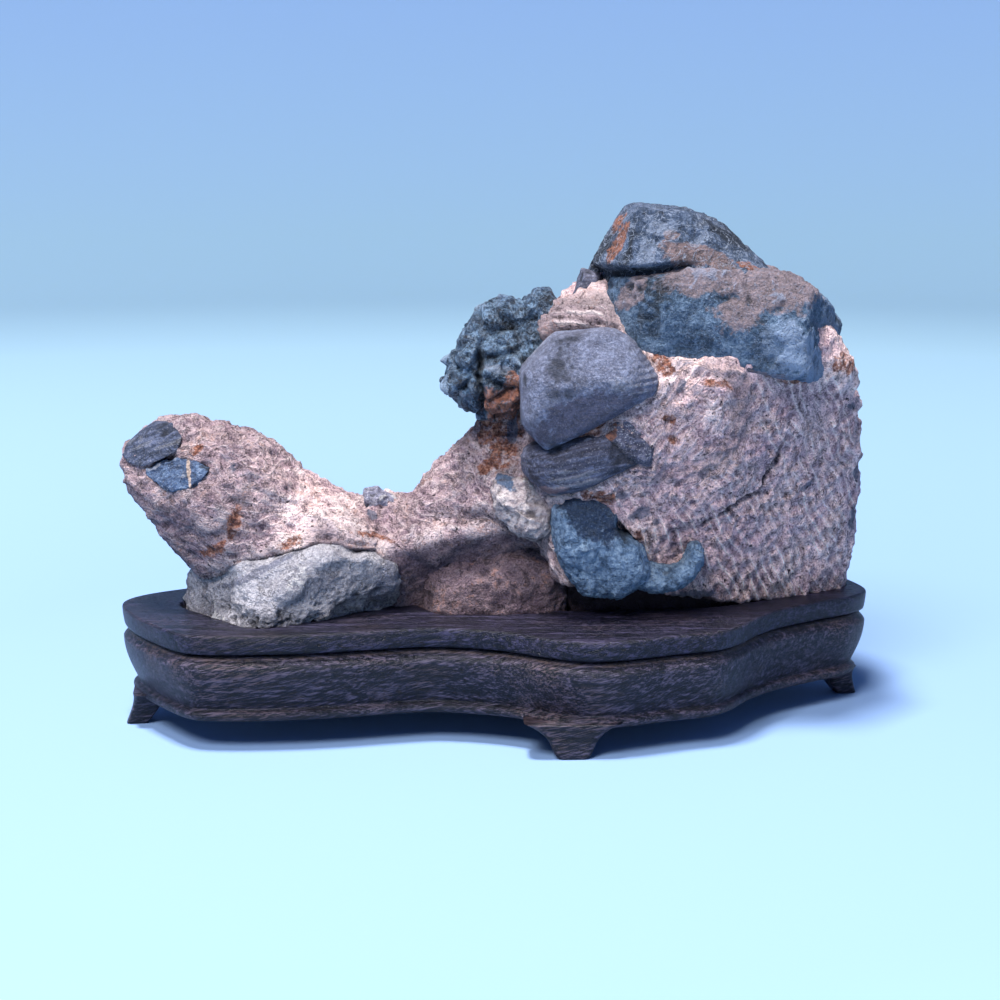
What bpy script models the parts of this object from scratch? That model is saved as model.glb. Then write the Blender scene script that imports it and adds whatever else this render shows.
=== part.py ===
"""Scholar's rock: a natural conglomerate stone standing in the recess of a carved wooden stand.

The stone is a gritty pinkish matrix that holds harder pebbles and slabs. A heavy block at the
right narrows to a neck, runs down over a low saddle, and rises again to a head at the left.
The stand is one carved piece: a lobed plate over a bulging apron with a bead and four feet.

Sizes are in millimetres and are turned into metres as each mesh is made. +X is to the right,
+Y to the back and +Z up. The origin is on the table under the middle of the stand.
"""

import math

import bmesh
import bpy
import numpy as np
from mathutils import Vector, noise

MM = 0.001

# Heights of the stand, from the table up.
UNDERSIDE = 5.0
BEAD_TOP = 6.6
GROOVE = 16.4
PLATE_TOP = 20.0

# The stone's flat sawn base, the depth of its seat in the plate, and the clearance round it.
STONE_BASE = 18.3
CLEARANCE = 0.35

# How finely the stone is fused, and how many triangles it keeps.
FUSING_GRAIN = 0.75
STONE_TRIANGLES = 6600

for old in list(bpy.data.objects):
    bpy.data.objects.remove(old)


def new_collection(name):
    """A collection linked to the scene."""
    made = bpy.data.collections.new(name)
    bpy.context.scene.collection.children.link(made)
    return made


PARTS = new_collection("scholars_rock")
CUTTERS = new_collection("cutters")


def plain_material(name, colour, roughness):
    """A Principled material of one colour, which is given as linear RGB."""
    made = bpy.data.materials.new(name)
    made.use_nodes = True
    shader = made.node_tree.nodes["Principled BSDF"]
    shader.inputs["Base Color"].default_value = (*colour, 1.0)
    shader.inputs["Roughness"].default_value = roughness
    shader.inputs["Metallic"].default_value = 0.0
    return made


def object_from(bm, name, collection, material=None):
    """The bmesh, in millimetres, as a new object in metres."""
    bmesh.ops.scale(bm, vec=Vector((MM, MM, MM)), verts=bm.verts)
    mesh = bpy.data.meshes.new(name)
    bm.to_mesh(mesh)
    bm.free()
    made = bpy.data.objects.new(name, mesh)
    collection.objects.link(made)
    if material:
        mesh.materials.append(material)
    return made


def as_cutter(cutter):
    """Marks an object as one that only cuts."""
    cutter.hide_render = True
    cutter.display_type = "WIRE"
    return cutter


def boolean(target, cutter, operation):
    """Adds an exact Boolean with the cutter to the target."""
    step = target.modifiers.new(cutter.name, "BOOLEAN")
    step.object = cutter
    step.operation = operation
    step.solver = "EXACT"
    return step


# ---------------------------------------------------------------------------------------
# The stone: lumps of matrix and clasts, each a ball pushed out to its own flats, then fused.


def gauge(offsets, outline, front, back, boxy, crisp, cuts):
    """How far out each offset is, as a share of the way to the lump's surface.

    Across X and Z the surface is the outline's edges, each at its distance from the middle,
    with corners rounded more the lower crisp is. Towards the front and back it closes at
    those reaches, as an ellipse for a boxy of 2 and nearer a box for more. Each cut is a
    flat, given by its point nearest to the middle.
    """
    corners = np.array(outline, float)
    middle = corners.mean(axis=0)
    corners = corners - middle
    edges = np.roll(corners, -1, axis=0) - corners
    normals = np.stack([edges[:, 1], -edges[:, 0]], axis=1)
    normals /= np.linalg.norm(normals, axis=1)[:, None]
    reach = (normals * corners).sum(axis=1)
    normals *= np.sign(reach)[:, None]
    across = np.clip(offsets[:, [0, 2]] @ (normals / np.abs(reach)[:, None]).T, 0.0, None)
    around = (across**crisp).sum(axis=1) ** (1.0 / crisp)
    along = np.where(offsets[:, 1] < 0.0, -offsets[:, 1] / front, offsets[:, 1] / back)
    body = (around**boxy + along**boxy) ** (1.0 / boxy)
    total = body**crisp
    for cut in cuts:
        foot = np.array(cut, float)
        total += np.clip(offsets @ foot / (foot @ foot), 0.0, None) ** crisp
    return total ** (1.0 / crisp)


def add_lump(bm, outline, y, front, back, boxy=2.6, crisp=14, cuts=(), grit=0.5, fine=4):
    """Adds one closed lump: its outline is X and Z corners seen from the front, y the depth
    of its middle, grit the height of the roughness on it and fine the ball's subdivisions."""
    ball = bmesh.ops.create_icosphere(bm, subdivisions=fine, radius=1.0)["verts"]
    directions = np.array([v.co for v in ball])
    middle = np.mean(np.array(outline, float), axis=0)
    centre = np.array([middle[0], y, middle[1]])
    radii = 1.0 / gauge(directions, outline, front, back, boxy, crisp, cuts)
    for vertex, direction, radius in zip(ball, directions, radii):
        place = Vector(centre + direction * radius)
        bump = noise.fractal(place / 5.0, 0.9, 2.1, 4)
        vertex.co = place + Vector(direction) * (grit * bump)


stone = bmesh.new()

# The block: a heavy body whose front leans out over its foot and turns away to the right.
add_lump(
    stone,
    [(10, 12), (5, 38), (4.5, 60), (8, 73.5), (20, 76.5), (44, 76.5), (55.5, 69), (60.5, 60),
     (63.2, 49), (63.8, 31), (63.0, 20), (60, 12)],
    y=1.5, front=23.5, back=27, boxy=3.4, crisp=20, grit=1.0, fine=5,
    cuts=[(1.9, -18.4, -6.4), (8.7, -14.6, -5.2), (-3.0, -23.0, 13.5), (-18, 20, -2),
          (21, 20, 3), (2, 20, 18), (1, 22, -13)],
)
# The head, which leans out to the left over its chin.
add_lump(
    stone,
    [(-64.3, 45), (-61.9, 37.6), (-59.2, 31.8), (-55.6, 28.4), (-50, 25.6), (-40, 25), (-33, 34),
     (-34.5, 42.6), (-41, 49.6), (-53.7, 52.4), (-59.8, 50.2)],
    y=-5, front=14, back=15, boxy=2.5, crisp=18, grit=1.1,
    cuts=[(-5, -9.5, -4), (-3, -9, 6), (6, -12, 2), (-7, 10, -3), (2, 9, 9)],
)
# The shoulder, which carries the head down to the saddle.
add_lump(
    stone,
    [(-46, 45.5), (-38.5, 46), (-28.5, 39), (-22, 36), (-19, 26), (-30, 17), (-45, 18), (-50, 34)],
    y=-4, front=12.5, back=15, crisp=18, grit=1.0, cuts=[(1, -7, 6), (-1, 8, 8)],
)
# The saddle, with a ridge along its front and a hollow under the ridge.
add_lump(
    stone,
    [(-32, 37), (-24, 37), (-17, 37.9), (-9, 39.5), (2, 36), (4, 24), (0, 12), (-32, 12), (-37, 26)],
    y=-1.5, front=14, back=16, crisp=18, grit=1.0,
    cuts=[(-1.5, -3.9, -4.8), (2.0, -5.6, 6.2), (0, 9, 7)],
)
# The neck, which climbs from the saddle into the block.
add_lump(
    stone,
    [(-14.5, 37), (-9.5, 43), (-6.7, 46.3), (-2, 50.2), (2, 56), (10, 62), (16, 50), (16, 20),
     (4, 12), (-14, 14)],
    y=-0.5, front=15, back=17, crisp=18, grit=1.0,
    cuts=[(-2.5, -8.0, 4.5), (-1.6, -7.4, -6.6), (-7, 10, 5)],
)
# The toe under the neck, which is flat where it stands.
add_lump(
    stone,
    [(-9.5, 22.5), (-4, 26), (6, 26.5), (10, 23.5), (10, 12), (-9.5, 12)],
    y=-4.5, front=9, back=8, grit=0.6,
)
# The grey foot under the head: a boulder that is cut back at its right.
add_lump(
    stone,
    [(-54.6, 12), (-54.0, 25), (-51.6, 28.8), (-43, 29.2), (-34, 32.4), (-29, 32.9), (-21.5, 31),
     (-17.2, 28.3), (-16.4, 23), (-19, 12)],
    y=-8, front=15, back=16, crisp=24, grit=0.9, cuts=[(6.4, -8.4, -1.5), (-1, -6.0, 5.2), (-10, -10, 0)],
)
# The oval clast, smooth and proud of the block's upper left.
add_lump(
    stone,
    [(3.2, 53), (3.2, 61.8), (9.0, 67.8), (18, 68.9), (22, 67), (25.9, 61.2), (25.7, 58.6),
     (16.3, 52.9), (7.4, 48.6)],
    y=-16, front=9, back=9, boxy=2.4, crisp=26, grit=0.2,
)
# Two flatter clasts under the oval one.
add_lump(
    stone,
    [(3.6, 44.3), (3.6, 48.3), (9.8, 51.4), (19.5, 53.7), (23.4, 50.8), (25.2, 46.3), (18, 43.4),
     (14, 41.4), (8.0, 40.8)],
    y=-14, front=9, back=8, boxy=2.3, crisp=22, grit=0.25,
)
add_lump(
    stone,
    [(17.0, 51), (19.1, 55.6), (22.8, 56.1), (26.0, 49), (24.8, 45.9), (20, 46)],
    y=-16.5, front=6.5, back=6, boxy=2.4, crisp=20, grit=0.25, fine=3,
)
# The long slab under the top, chipped flat on its faces.
add_lump(
    stone,
    [(16.6, 73), (18.6, 77), (32, 79.2), (43, 79.2), (50.8, 78.1), (55, 74), (58.2, 69),
     (57.4, 64.5), (53.8, 59.5), (42, 61), (32, 62.2), (22.6, 64.0), (17.4, 69)],
    y=-3, front=21, back=17, boxy=5, crisp=34, grit=0.6, fine=5,
    cuts=[(-1, -18.0, -1.5), (1, -14.5, 7.5), (15.6, -8.0, 0.5), (-18.5, -13.5, 1.5), (5, 13, 6)],
)
# The top clast, a chipped pyramid with sharp edges.
add_lump(
    stone,
    [(15.6, 75.5), (20.3, 86.2), (22.6, 87.8), (31.4, 87.6), (35.2, 86.2), (42.6, 80.6), (45.0, 77.4),
     (42, 71), (18, 71)],
    y=-3, front=14, back=15, boxy=4, crisp=40, grit=0.5, fine=5,
    cuts=[(2.0, -8.2, 4.6), (-8.8, -6.8, 2.6), (7.5, -6.5, 4.5), (-5, 9, 4), (6, 9, 4)],
)
# The kidney-shaped clast low on the front, and its tail.
add_lump(
    stone,
    [(8.2, 34), (8.6, 39.4), (12.1, 41.6), (16.6, 40.8), (19.6, 38.6), (24.6, 31.5), (25.4, 26.3),
     (19.4, 22.8), (13.6, 23.4), (9.6, 28.8)],
    y=-11, front=10.5, back=8, boxy=2.7, crisp=22, grit=0.6, cuts=[(2, -9.2, 2.2)],
)
add_lump(
    stone,
    [(22, 26), (25, 30.4), (32, 33), (34.4, 30.6), (32.6, 25.8), (27.5, 23.4)],
    y=-9.5, front=8.5, back=7, crisp=20, grit=0.3, fine=3,
)
# The dark crinkled lump that overhangs the neck, its ball, and a pebble beside the top.
add_lump(
    stone,
    [(-10.4, 58.2), (-10.2, 63.4), (-6.2, 67.2), (-5.0, 70.4), (0, 72.0), (7, 72.2), (10, 66), (8, 58),
     (3, 53.6), (-1.9, 51.9), (-8.2, 55.5)],
    y=-5.5, front=10, back=11, boxy=3.2, crisp=26, grit=1.5, cuts=[(-6.6, -7.6, 1.5), (1, -7.8, 3)],
)
add_lump(stone, [(4.1, 71), (6.7, 73.9), (9.2, 71.7), (8.2, 68.8), (4.8, 68.6)], y=-6.5, front=2.8,
         back=3.5, crisp=20, grit=0.3, fine=3)
add_lump(stone, [(12.0, 72.6), (13.6, 77.3), (16.8, 76.5), (17, 72)], y=-5.5, front=3.5, back=4,
         crisp=20, grit=0.3, fine=3)
# The pale lump in the fold between neck and block.
add_lump(
    stone,
    [(-2.6, 41), (-0.4, 43.7), (5, 42), (9.2, 38.7), (10.4, 33), (7.2, 28.2), (2.4, 30.8), (-1.4, 36.3)],
    y=-10.5, front=7, back=8, crisp=20, grit=0.5,
)
# Two clasts bedded in the end of the head, and a nub on the saddle.
add_lump(
    stone,
    [(-63.6, 46.2), (-62.3, 49.6), (-58.4, 51.9), (-53.6, 52.0), (-52.4, 48.6), (-58.6, 44.6)],
    y=-8.5, front=7, back=7, boxy=3, crisp=24, grit=0.2, fine=4,
)
add_lump(
    stone,
    [(-59.2, 45.4), (-56.2, 48.1), (-51, 48.3), (-47.0, 46.1), (-49.5, 42.6), (-54.8, 41.6)],
    y=-12.5, front=6.3, back=6, boxy=2.6, crisp=20, grit=0.2, fine=4,
)
add_lump(stone, [(-24.3, 35), (-23.6, 39.9), (-20.8, 40.1), (-18.8, 38), (-16.6, 36)], y=-2.5,
         front=3, back=4, crisp=20, grit=0.3, fine=3)
# Clasts bedded in the back.
add_lump(stone, [(14, 52), (18, 63), (35, 67), (45, 59), (39, 49), (21, 46)], y=20, front=9,
         back=10.5, crisp=26, grit=0.5, cuts=[(2, 8, 3), (-6, 7, -1)])
add_lump(stone, [(38, 31), (40, 41), (52, 43.5), (57, 36), (50, 27)], y=17, front=8, back=10.5,
         boxy=2.3, crisp=20, grit=0.3)
add_lump(stone, [(-59, 35), (-57, 43), (-46, 44.5), (-42, 37), (-50, 31)], y=3, front=6, back=8.5,
         boxy=2.4, crisp=20, grit=0.3)
add_lump(stone, [(-5, 30), (-4, 39), (6, 42), (11, 35), (5, 27)], y=9, front=6, back=8.5,
         boxy=2.4, crisp=20, grit=0.3)

rock = object_from(stone, "rock", PARTS, plain_material("rock_stone", (0.36, 0.25, 0.22), 0.85))

fused = rock.modifiers.new("fused", "REMESH")
fused.mode = "VOXEL"
fused.voxel_size = FUSING_GRAIN * MM

# A coarser skin of the fused stone, which keeps its ledges and creases.
fused_mesh = bpy.data.meshes.new_from_object(
    rock.evaluated_get(bpy.context.evaluated_depsgraph_get())
)
thinned = rock.modifiers.new("thinned", "DECIMATE")
thinned.ratio = STONE_TRIANGLES / (2 * len(fused_mesh.polygons))
bpy.data.meshes.remove(fused_mesh)


def block_below(name, top):
    """A cutter that reaches from well under the table up to a height."""
    bm = bmesh.new()
    bmesh.ops.create_cube(bm, size=200.0)
    bmesh.ops.translate(bm, vec=(0.0, 0.0, top - 100.0), verts=bm.verts)
    return as_cutter(object_from(bm, name, CUTTERS))


# ---------------------------------------------------------------------------------------
# The stand: the moulding round its edge is one profile carried round a lobed outline.

# Where the outline runs, from the left tip round the front to the right tip and the back.
STAND_OUTLINE = [
    (-64.8, -6.8), (-62.2, -13.4), (-57.9, -20.0), (-52.2, -26.6), (-46.5, -28.3),
    (-36.0, -27.9), (-27.6, -26.6), (-19.5, -24.6), (-12.0, -23.1), (-5.5, -23.9),
    (1.0, -26.0), (7.5, -29.9), (14.0, -32.3), (20.5, -31.3), (28.5, -28.0), (35.6, -25.4),
    (39.8, -21.4), (43.6, -15.4), (48.7, -9.8), (56.0, -4.4), (62.0, -0.2), (64.8, 4.8),
    (63.2, 11.8), (59.5, 19.5), (54.0, 26.2), (47.0, 29.8), (39.0, 29.6), (31.0, 27.8),
    (24.0, 28.4), (16.0, 31.2), (8.0, 32.3), (0.0, 30.0), (-8.0, 26.2), (-15.0, 24.2),
    (-22.0, 24.4), (-30.0, 23.4), (-37.0, 19.4), (-42.0, 14.2), (-48.0, 9.3), (-54.6, 6.0),
    (-61.2, 1.6), (-64.5, -2.6),
]
OUTLINE_STEPS = 2  # points along the outline for each one above

# The moulding: how far each line of it stands in from the outline, and its height.
MOULDING = [
    (2.0, UNDERSIDE), (1.4, 5.6), (1.6, BEAD_TOP), (2.4, 6.9), (1.8, 7.6), (0.9, 9.6),
    (0.2, 12.6), (0.2, 15.2), (0.9, 16.2), (1.5, GROOVE), (0.2, 16.8), (0.0, 19.6),
    (0.4, PLATE_TOP),
]


def smooth_loop(corners, steps):
    """A closed curve through the corners (Catmull-Rom), as points evenly spaced between them."""
    corner = np.array(corners, float)
    before, after, last = (np.roll(corner, shift, axis=0) for shift in (1, -1, -2))
    share = (np.arange(steps) / steps)[None, :, None]
    a, b, c, d = (points[:, None, :] for points in (before, corner, after, last))
    curve = 0.5 * (
        2.0 * b + (c - a) * share + (2.0 * a - 5.0 * b + 4.0 * c - d) * share**2
        + (3.0 * b - a - 3.0 * c + d) * share**3
    )
    return curve.reshape(-1, 2)


def moulded_block(outline, moulding):
    """A closed block whose sides are the moulding, carried round the outline, with flat ends."""
    tangents = np.roll(outline, -1, axis=0) - np.roll(outline, 1, axis=0)
    tangents /= np.linalg.norm(tangents, axis=1)[:, None]
    inward = np.stack([-tangents[:, 1], tangents[:, 0]], axis=1)
    bm = bmesh.new()
    rings = [
        [bm.verts.new((*point, height)) for point in outline + inset * inward]
        for inset, height in moulding
    ]
    for lower, upper in zip(rings, rings[1:]):
        for i in range(len(outline)):
            j = (i + 1) % len(outline)
            bm.faces.new((lower[i], lower[j], upper[j], upper[i]))
    bm.faces.new(rings[0][::-1])
    bm.faces.new(rings[-1])
    return bm


stand = object_from(
    moulded_block(smooth_loop(STAND_OUTLINE, OUTLINE_STEPS), MOULDING),
    "stand", PARTS, plain_material("stand_wood", (0.055, 0.035, 0.03), 0.5),
)

# Each foot: the middle of its top, the way it points, its width and depth at the table, how
# much wider it is at the top, and how far it splays out.
FEET = {
    "foot_front": dict(at=(11.6, -28.0), turn=-88, wide=6.0, deep=5.6, flare=7.5, splay=0.6),
    "foot_left": dict(at=(-60.4, -9.0), turn=186, wide=5.0, deep=4.0, flare=5.0, splay=2.3),
    "foot_right": dict(at=(60.2, 8.4), turn=14, wide=5.0, deep=4.0, flare=5.0, splay=2.3),
    "foot_back": dict(at=(7.6, 28.2), turn=91, wide=6.0, deep=5.6, flare=7.5, splay=0.6),
}
FOOT_TOP = UNDERSIDE + 1.0


def add_foot(name, at, turn, wide, deep, flare, splay):
    """A foot that widens in a hollow curve up to the underside and kicks out at the table."""
    bm = bmesh.new()
    bmesh.ops.create_cube(bm, size=1.0)
    upright = [e for e in bm.edges if abs(e.verts[0].co.z - e.verts[1].co.z) > 0.5]
    bmesh.ops.subdivide_edges(bm, edges=upright, cuts=4)
    outward = Vector((math.cos(math.radians(turn)), math.sin(math.radians(turn)), 0.0))
    sideways = Vector((-outward.y, outward.x, 0.0))
    for vertex in bm.verts:
        rise = vertex.co.z + 0.5
        along = vertex.co.x * deep + splay * (1.0 - rise) ** 1.5
        across = 2.0 * vertex.co.y * 0.5 * (wide + flare * rise**2)
        vertex.co = Vector((*at, rise * FOOT_TOP)) + outward * along + sideways * across
    foot = as_cutter(object_from(bm, name, CUTTERS))
    boolean(stand, foot, "UNION")


for foot_name, foot_shape in FEET.items():
    add_foot(foot_name, **foot_shape)

# The seat: the plate is cut by the stone itself, swollen by the clearance.
seat = as_cutter(rock.copy())
seat.name = "seat"
CUTTERS.objects.link(seat)
boolean(seat, block_below("seat_floor", STONE_BASE), "DIFFERENCE")
swollen = seat.modifiers.new("swollen", "DISPLACE")
swollen.strength = CLEARANCE * MM
swollen.mid_level = 0.0
boolean(stand, seat, "DIFFERENCE")

boolean(rock, block_below("sawn_base", STONE_BASE), "DIFFERENCE")
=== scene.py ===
"""A scholar's rock on its carved stand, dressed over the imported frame.

Lengths are worked out in millimetres in the frame's axes (+X to the block, +Y to the back,
+Z up) and become metres when a mesh is made.
"""

import math

import bpy
import numpy as np
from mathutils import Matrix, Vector


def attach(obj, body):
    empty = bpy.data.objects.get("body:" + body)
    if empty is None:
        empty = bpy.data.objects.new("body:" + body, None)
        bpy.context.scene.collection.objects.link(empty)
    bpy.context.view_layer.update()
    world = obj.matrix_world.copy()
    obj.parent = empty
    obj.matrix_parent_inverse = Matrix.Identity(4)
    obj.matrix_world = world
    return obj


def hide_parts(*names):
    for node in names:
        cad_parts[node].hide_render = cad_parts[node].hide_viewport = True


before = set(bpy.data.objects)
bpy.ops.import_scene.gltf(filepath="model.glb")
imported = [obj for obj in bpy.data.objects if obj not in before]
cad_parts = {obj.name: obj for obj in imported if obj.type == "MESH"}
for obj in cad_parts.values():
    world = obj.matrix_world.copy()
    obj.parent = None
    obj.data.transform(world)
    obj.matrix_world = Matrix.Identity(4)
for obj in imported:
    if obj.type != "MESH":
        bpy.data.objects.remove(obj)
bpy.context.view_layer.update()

# ---------------------------------------------------------------------------------------
# The studio: a wide pale bowl that is floor and wall in one, a small lamp over the stone and a
# larger one high in front of it, a dim sky, and a camera a little above the stand.

MM = 0.001
BOWL_FLOOR, BOWL_RIM, BOWL_HEIGHT = 0.75, 1.5, 1.3
BOWL_STEPS_ROUND, BOWL_STEPS_OUT = 96, 48
SKY, SKY_STRENGTH = (0.48, 0.72, 1.0, 1.0), 0.22
AIM = Vector((0.0, -0.0025, 0.0374))
CAMERA_DISTANCE = 0.354
CAMERA_RISE = math.radians(11.0)
LENS_OF_FRAME = 2.06  # focal length over the frame's width


def mesh_object(name, points, quads):
    """An object at the origin from points in millimetres and rows of four corners, in which a
    row that repeats a corner is a triangle."""
    repeat = quads == np.roll(quads, -1, axis=1)
    kept = repeat.sum(axis=1) < 2
    quads, repeat = quads[kept], repeat[kept]
    loops, sides = quads[~repeat], 4 - repeat.sum(axis=1)
    mesh = bpy.data.meshes.new(name)
    mesh.vertices.add(len(points))
    mesh.vertices.foreach_set("co", (points * MM).astype(np.float32).ravel())
    mesh.loops.add(len(loops))
    mesh.loops.foreach_set("vertex_index", loops.astype(np.int32))
    mesh.polygons.add(len(quads))
    starts = np.concatenate([[0], np.cumsum(sides)[:-1]])
    mesh.polygons.foreach_set("loop_start", starts.astype(np.int32))
    mesh.polygons.foreach_set("use_smooth", np.full(len(quads), True))
    mesh.update(calc_edges=True)
    made = bpy.data.objects.new(name, mesh)
    bpy.context.scene.collection.objects.link(made)
    return made


def dressed(name, points, quads, flat, marks, finish):
    """A mesh with a flat map and a finish, and a number or a row of three stored on each of its
    points for each mark."""
    piece = mesh_object(name, points, quads)
    layer = piece.data.uv_layers.new(name="OFBake")
    layer.data.foreach_set("uv", flat.astype(np.float32).ravel())
    for mark, values in marks.items():
        kind, field = ("FLOAT_VECTOR", "vector") if values.ndim > 1 else ("FLOAT", "value")
        stored = piece.data.attributes.new(mark, kind, "POINT")
        stored.data.foreach_set(field, values.astype(np.float32).ravel())
    piece.data.materials.append(finish)
    return piece


class Strand:
    """A socket in a finish's shader; arithmetic on it adds Math nodes to that finish."""

    def __init__(self, finish, socket):
        self.finish, self.socket = finish, socket

    def math(self, operation, *values):
        return self.finish.node("ShaderNodeMath", {"operation": operation}, *values)

    def __add__(self, other):
        return self.math("ADD", self, other)

    def __sub__(self, other):
        return self.math("SUBTRACT", self, other)

    def __rsub__(self, other):
        return self.math("SUBTRACT", other, self)

    def __mul__(self, other):
        return self.math("MULTIPLY", self, other)

    def __truediv__(self, other):
        return self.math("DIVIDE", self, other)

    def __pow__(self, other):
        return self.math("POWER", self, other)

    def __abs__(self):
        return self.math("ABSOLUTE", self)

    __radd__, __rmul__ = __add__, __mul__

    def clamped(self):
        return self.finish.node("ShaderNodeClamp", {}, self)

    def over(self, low, high):
        """0 below low and 1 above high, with an eased slope between them."""
        return self.finish.node(
            "ShaderNodeMapRange", {"interpolation_type": "SMOOTHSTEP"}, self, low, high, 0.0, 1.0
        )


class Finish:
    """One Principled material under construction."""

    def __init__(self, name, **plain):
        self.material = bpy.data.materials.new(name)
        self.material.use_nodes = True
        self.tree = self.material.node_tree
        self.shader = self.tree.nodes["Principled BSDF"]
        for socket, value in plain.items():
            self.shader.inputs[socket.replace("_", " ")].default_value = value

    def join(self, value, socket):
        if isinstance(value, Strand):
            self.tree.links.new(value.socket, socket)
        elif value is not None:
            socket.default_value = value

    def node(self, kind, settings, *values, out=0, **named):
        """A node of any kind: its settings are set first, then its sockets in order and by name."""
        made = self.tree.nodes.new(kind)
        for key, value in settings.items():
            if key == "stops":
                ramp = made.color_ramp
                while len(ramp.elements) < len(value):
                    ramp.elements.new(0.5)
                for stop, (place, colour) in zip(ramp.elements, value):
                    stop.position, stop.color = place, (*colour, 1.0)
            else:
                setattr(made, key, value)
        for i, value in enumerate(values):
            self.join(value, made.inputs[i])
        for key, value in named.items():
            self.join(value, made.inputs[key.replace("_", " ")])
        return Strand(self, made.outputs[out])

    def place(self, stretch=(1.0, 1.0, 1.0), turn=(0.0, 0.0, 0.0)):
        """The place on the piece in millimetres, turned and then divided by the stretch."""
        spot = self.node("ShaderNodeTexCoord", {}, out=3)
        turned = self.node(
            "ShaderNodeMapping", {"vector_type": "POINT"}, spot, (0, 0, 0),
            tuple(math.radians(a) for a in turn), (1.0, 1.0, 1.0),
        )
        return self.node(
            "ShaderNodeVectorMath", {"operation": "MULTIPLY"}, turned,
            tuple(1.0 / (MM * s) for s in stretch),
        )

    def grain(self, size, detail=4.0, rough=0.55, twist=0.0, **where):
        """Cloudy noise from 0 to 1 whose blots are about size millimetres."""
        spot = self.place(**where)
        return self.node(
            "ShaderNodeTexNoise", {}, Vector=spot, Scale=1.0 / size, Detail=detail,
            Roughness=rough, Distortion=twist,
        )

    def hairlines(self, size, detail, rough, twist, thin):
        """Wandering lines, 1 along their middles: noise where it passes 0.5, thinner as thin
        grows."""
        noise = self.grain(size, detail, rough, twist)
        return (1.0 - abs(noise - 0.5) * thin).clamped()

    def broken(self, mark, amount, *noise):
        """A mark stored on the piece's points, its edges broken up by noise."""
        return self.reading(mark) + amount * (self.grain(*noise) - 0.5)

    def ramp(self, value, *stops):
        return self.node("ShaderNodeValToRGB", {"stops": stops}, value)

    def blend(self, mask, below, above, way="MIX"):
        """The colour above laid over the colour below where the mask is 1."""
        made = self.tree.nodes.new("ShaderNodeMix")
        made.data_type, made.blend_type = "RGBA", way
        for value, i in ((mask, 0), (below, 6), (above, 7)):
            if isinstance(value, tuple):
                value = (*value, 1.0)
            self.join(value, made.inputs[i])
        return Strand(self, made.outputs[2])

    def reading(self, name):
        """A number stored on the piece's points."""
        return self.node("ShaderNodeAttribute", {"attribute_name": name}, out=2)

    def bumps(self, height, depth):
        """A bumped normal from a height of 0 to 1 that stands for depth millimetres."""
        return self.node("ShaderNodeBump", {}, Strength=1.0, Distance=depth * MM, Height=height)

    def done(self, colour, roughness, normal=None):
        self.join(colour, self.shader.inputs["Base Color"])
        self.join(roughness, self.shader.inputs["Roughness"])
        self.join(normal, self.shader.inputs["Normal"])
        return self.material


def linear(red, green, blue):
    """A colour given as 0 to 255 on a screen, as the linear values that shaders take."""
    return tuple(((c / 255.0 + 0.055) / 1.055) ** 2.4 if c > 10 else c / 3294.0
                 for c in (red, green, blue))


def strip_quads(rows, columns, closed):
    """The squares of a grid of points numbered row by row; where the grid is closed, its last
    column meets its first."""
    i, j = np.meshgrid(np.arange(rows - 1), np.arange(columns if closed else columns - 1),
                       indexing="ij")
    here, over = i * columns + j, i * columns + (j + 1) % columns
    return np.stack([here, over, over + columns, here + columns], axis=-1).reshape(-1, 4)


TURNED_OVER = [0, 3, 2, 1]  # the corners of a square, the other way round


def shaded(share, colour):
    """The given share of a screen colour's light."""
    return tuple(share * c for c in linear(*colour))


def studio_bowl():
    """A surface turned about Z: flat, then rising as a quarter ellipse to the rim."""
    turn = np.linspace(0.0, 2.0 * np.pi, BOWL_STEPS_ROUND + 1)[:-1]
    out = np.linspace(0.0, BOWL_RIM, BOWL_STEPS_OUT + 1)
    bend = np.clip((out - BOWL_FLOOR) / (BOWL_RIM - BOWL_FLOOR), 0.0, 1.0)
    rise = BOWL_HEIGHT * (1.0 - np.sqrt(1.0 - bend**2))
    x, y = out[:, None] * np.cos(turn), out[:, None] * np.sin(turn)
    points = np.stack([x, y, np.broadcast_to(rise[:, None], x.shape)], axis=-1) / MM
    quads = strip_quads(BOWL_STEPS_OUT + 1, BOWL_STEPS_ROUND, True)
    return points.reshape(-1, 3), quads[:, TURNED_OVER]


bowl = mesh_object("studio_bowl", *studio_bowl())
bowl_finish = Finish("studio_paper", Specular_IOR_Level=0.1)
away = bowl_finish.node("ShaderNodeVectorMath", {"operation": "LENGTH"}, bowl_finish.place(), out=1)
bowl.data.materials.append(bowl_finish.done(
    bowl_finish.ramp(away / (1000.0 * BOWL_RIM), (0.08, linear(124, 150, 184)),
                     (0.36, linear(154, 184, 194)), (0.6, linear(148, 178, 192)),
                     (1.0, linear(132, 159, 216))), 0.9))

world = bpy.data.worlds.new("studio")
world.use_nodes = True
world.node_tree.nodes["Background"].inputs["Color"].default_value = SKY
world.node_tree.nodes["Background"].inputs["Strength"].default_value = SKY_STRENGTH
bpy.context.scene.world = world
bpy.context.scene.view_settings.view_transform = "Standard"

for name, spot, size, power, tint in (
    ("light_above", (-0.12, -0.16, 0.95), 0.16, 20.0, (0.95, 0.95, 1.0)),
    ("light_front", (-0.32, -0.80, 0.96), 0.42, 20.5, (0.95, 0.95, 1.0)),
):
    lamp = bpy.data.lights.new(name, "AREA")
    lamp.energy, lamp.size, lamp.color = power, size, tint
    lamp_object = bpy.data.objects.new(name, lamp)
    lamp_object.location = spot
    lamp_object.rotation_euler = (AIM - Vector(spot)).to_track_quat("-Z", "Y").to_euler()
    bpy.context.scene.collection.objects.link(lamp_object)

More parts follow.
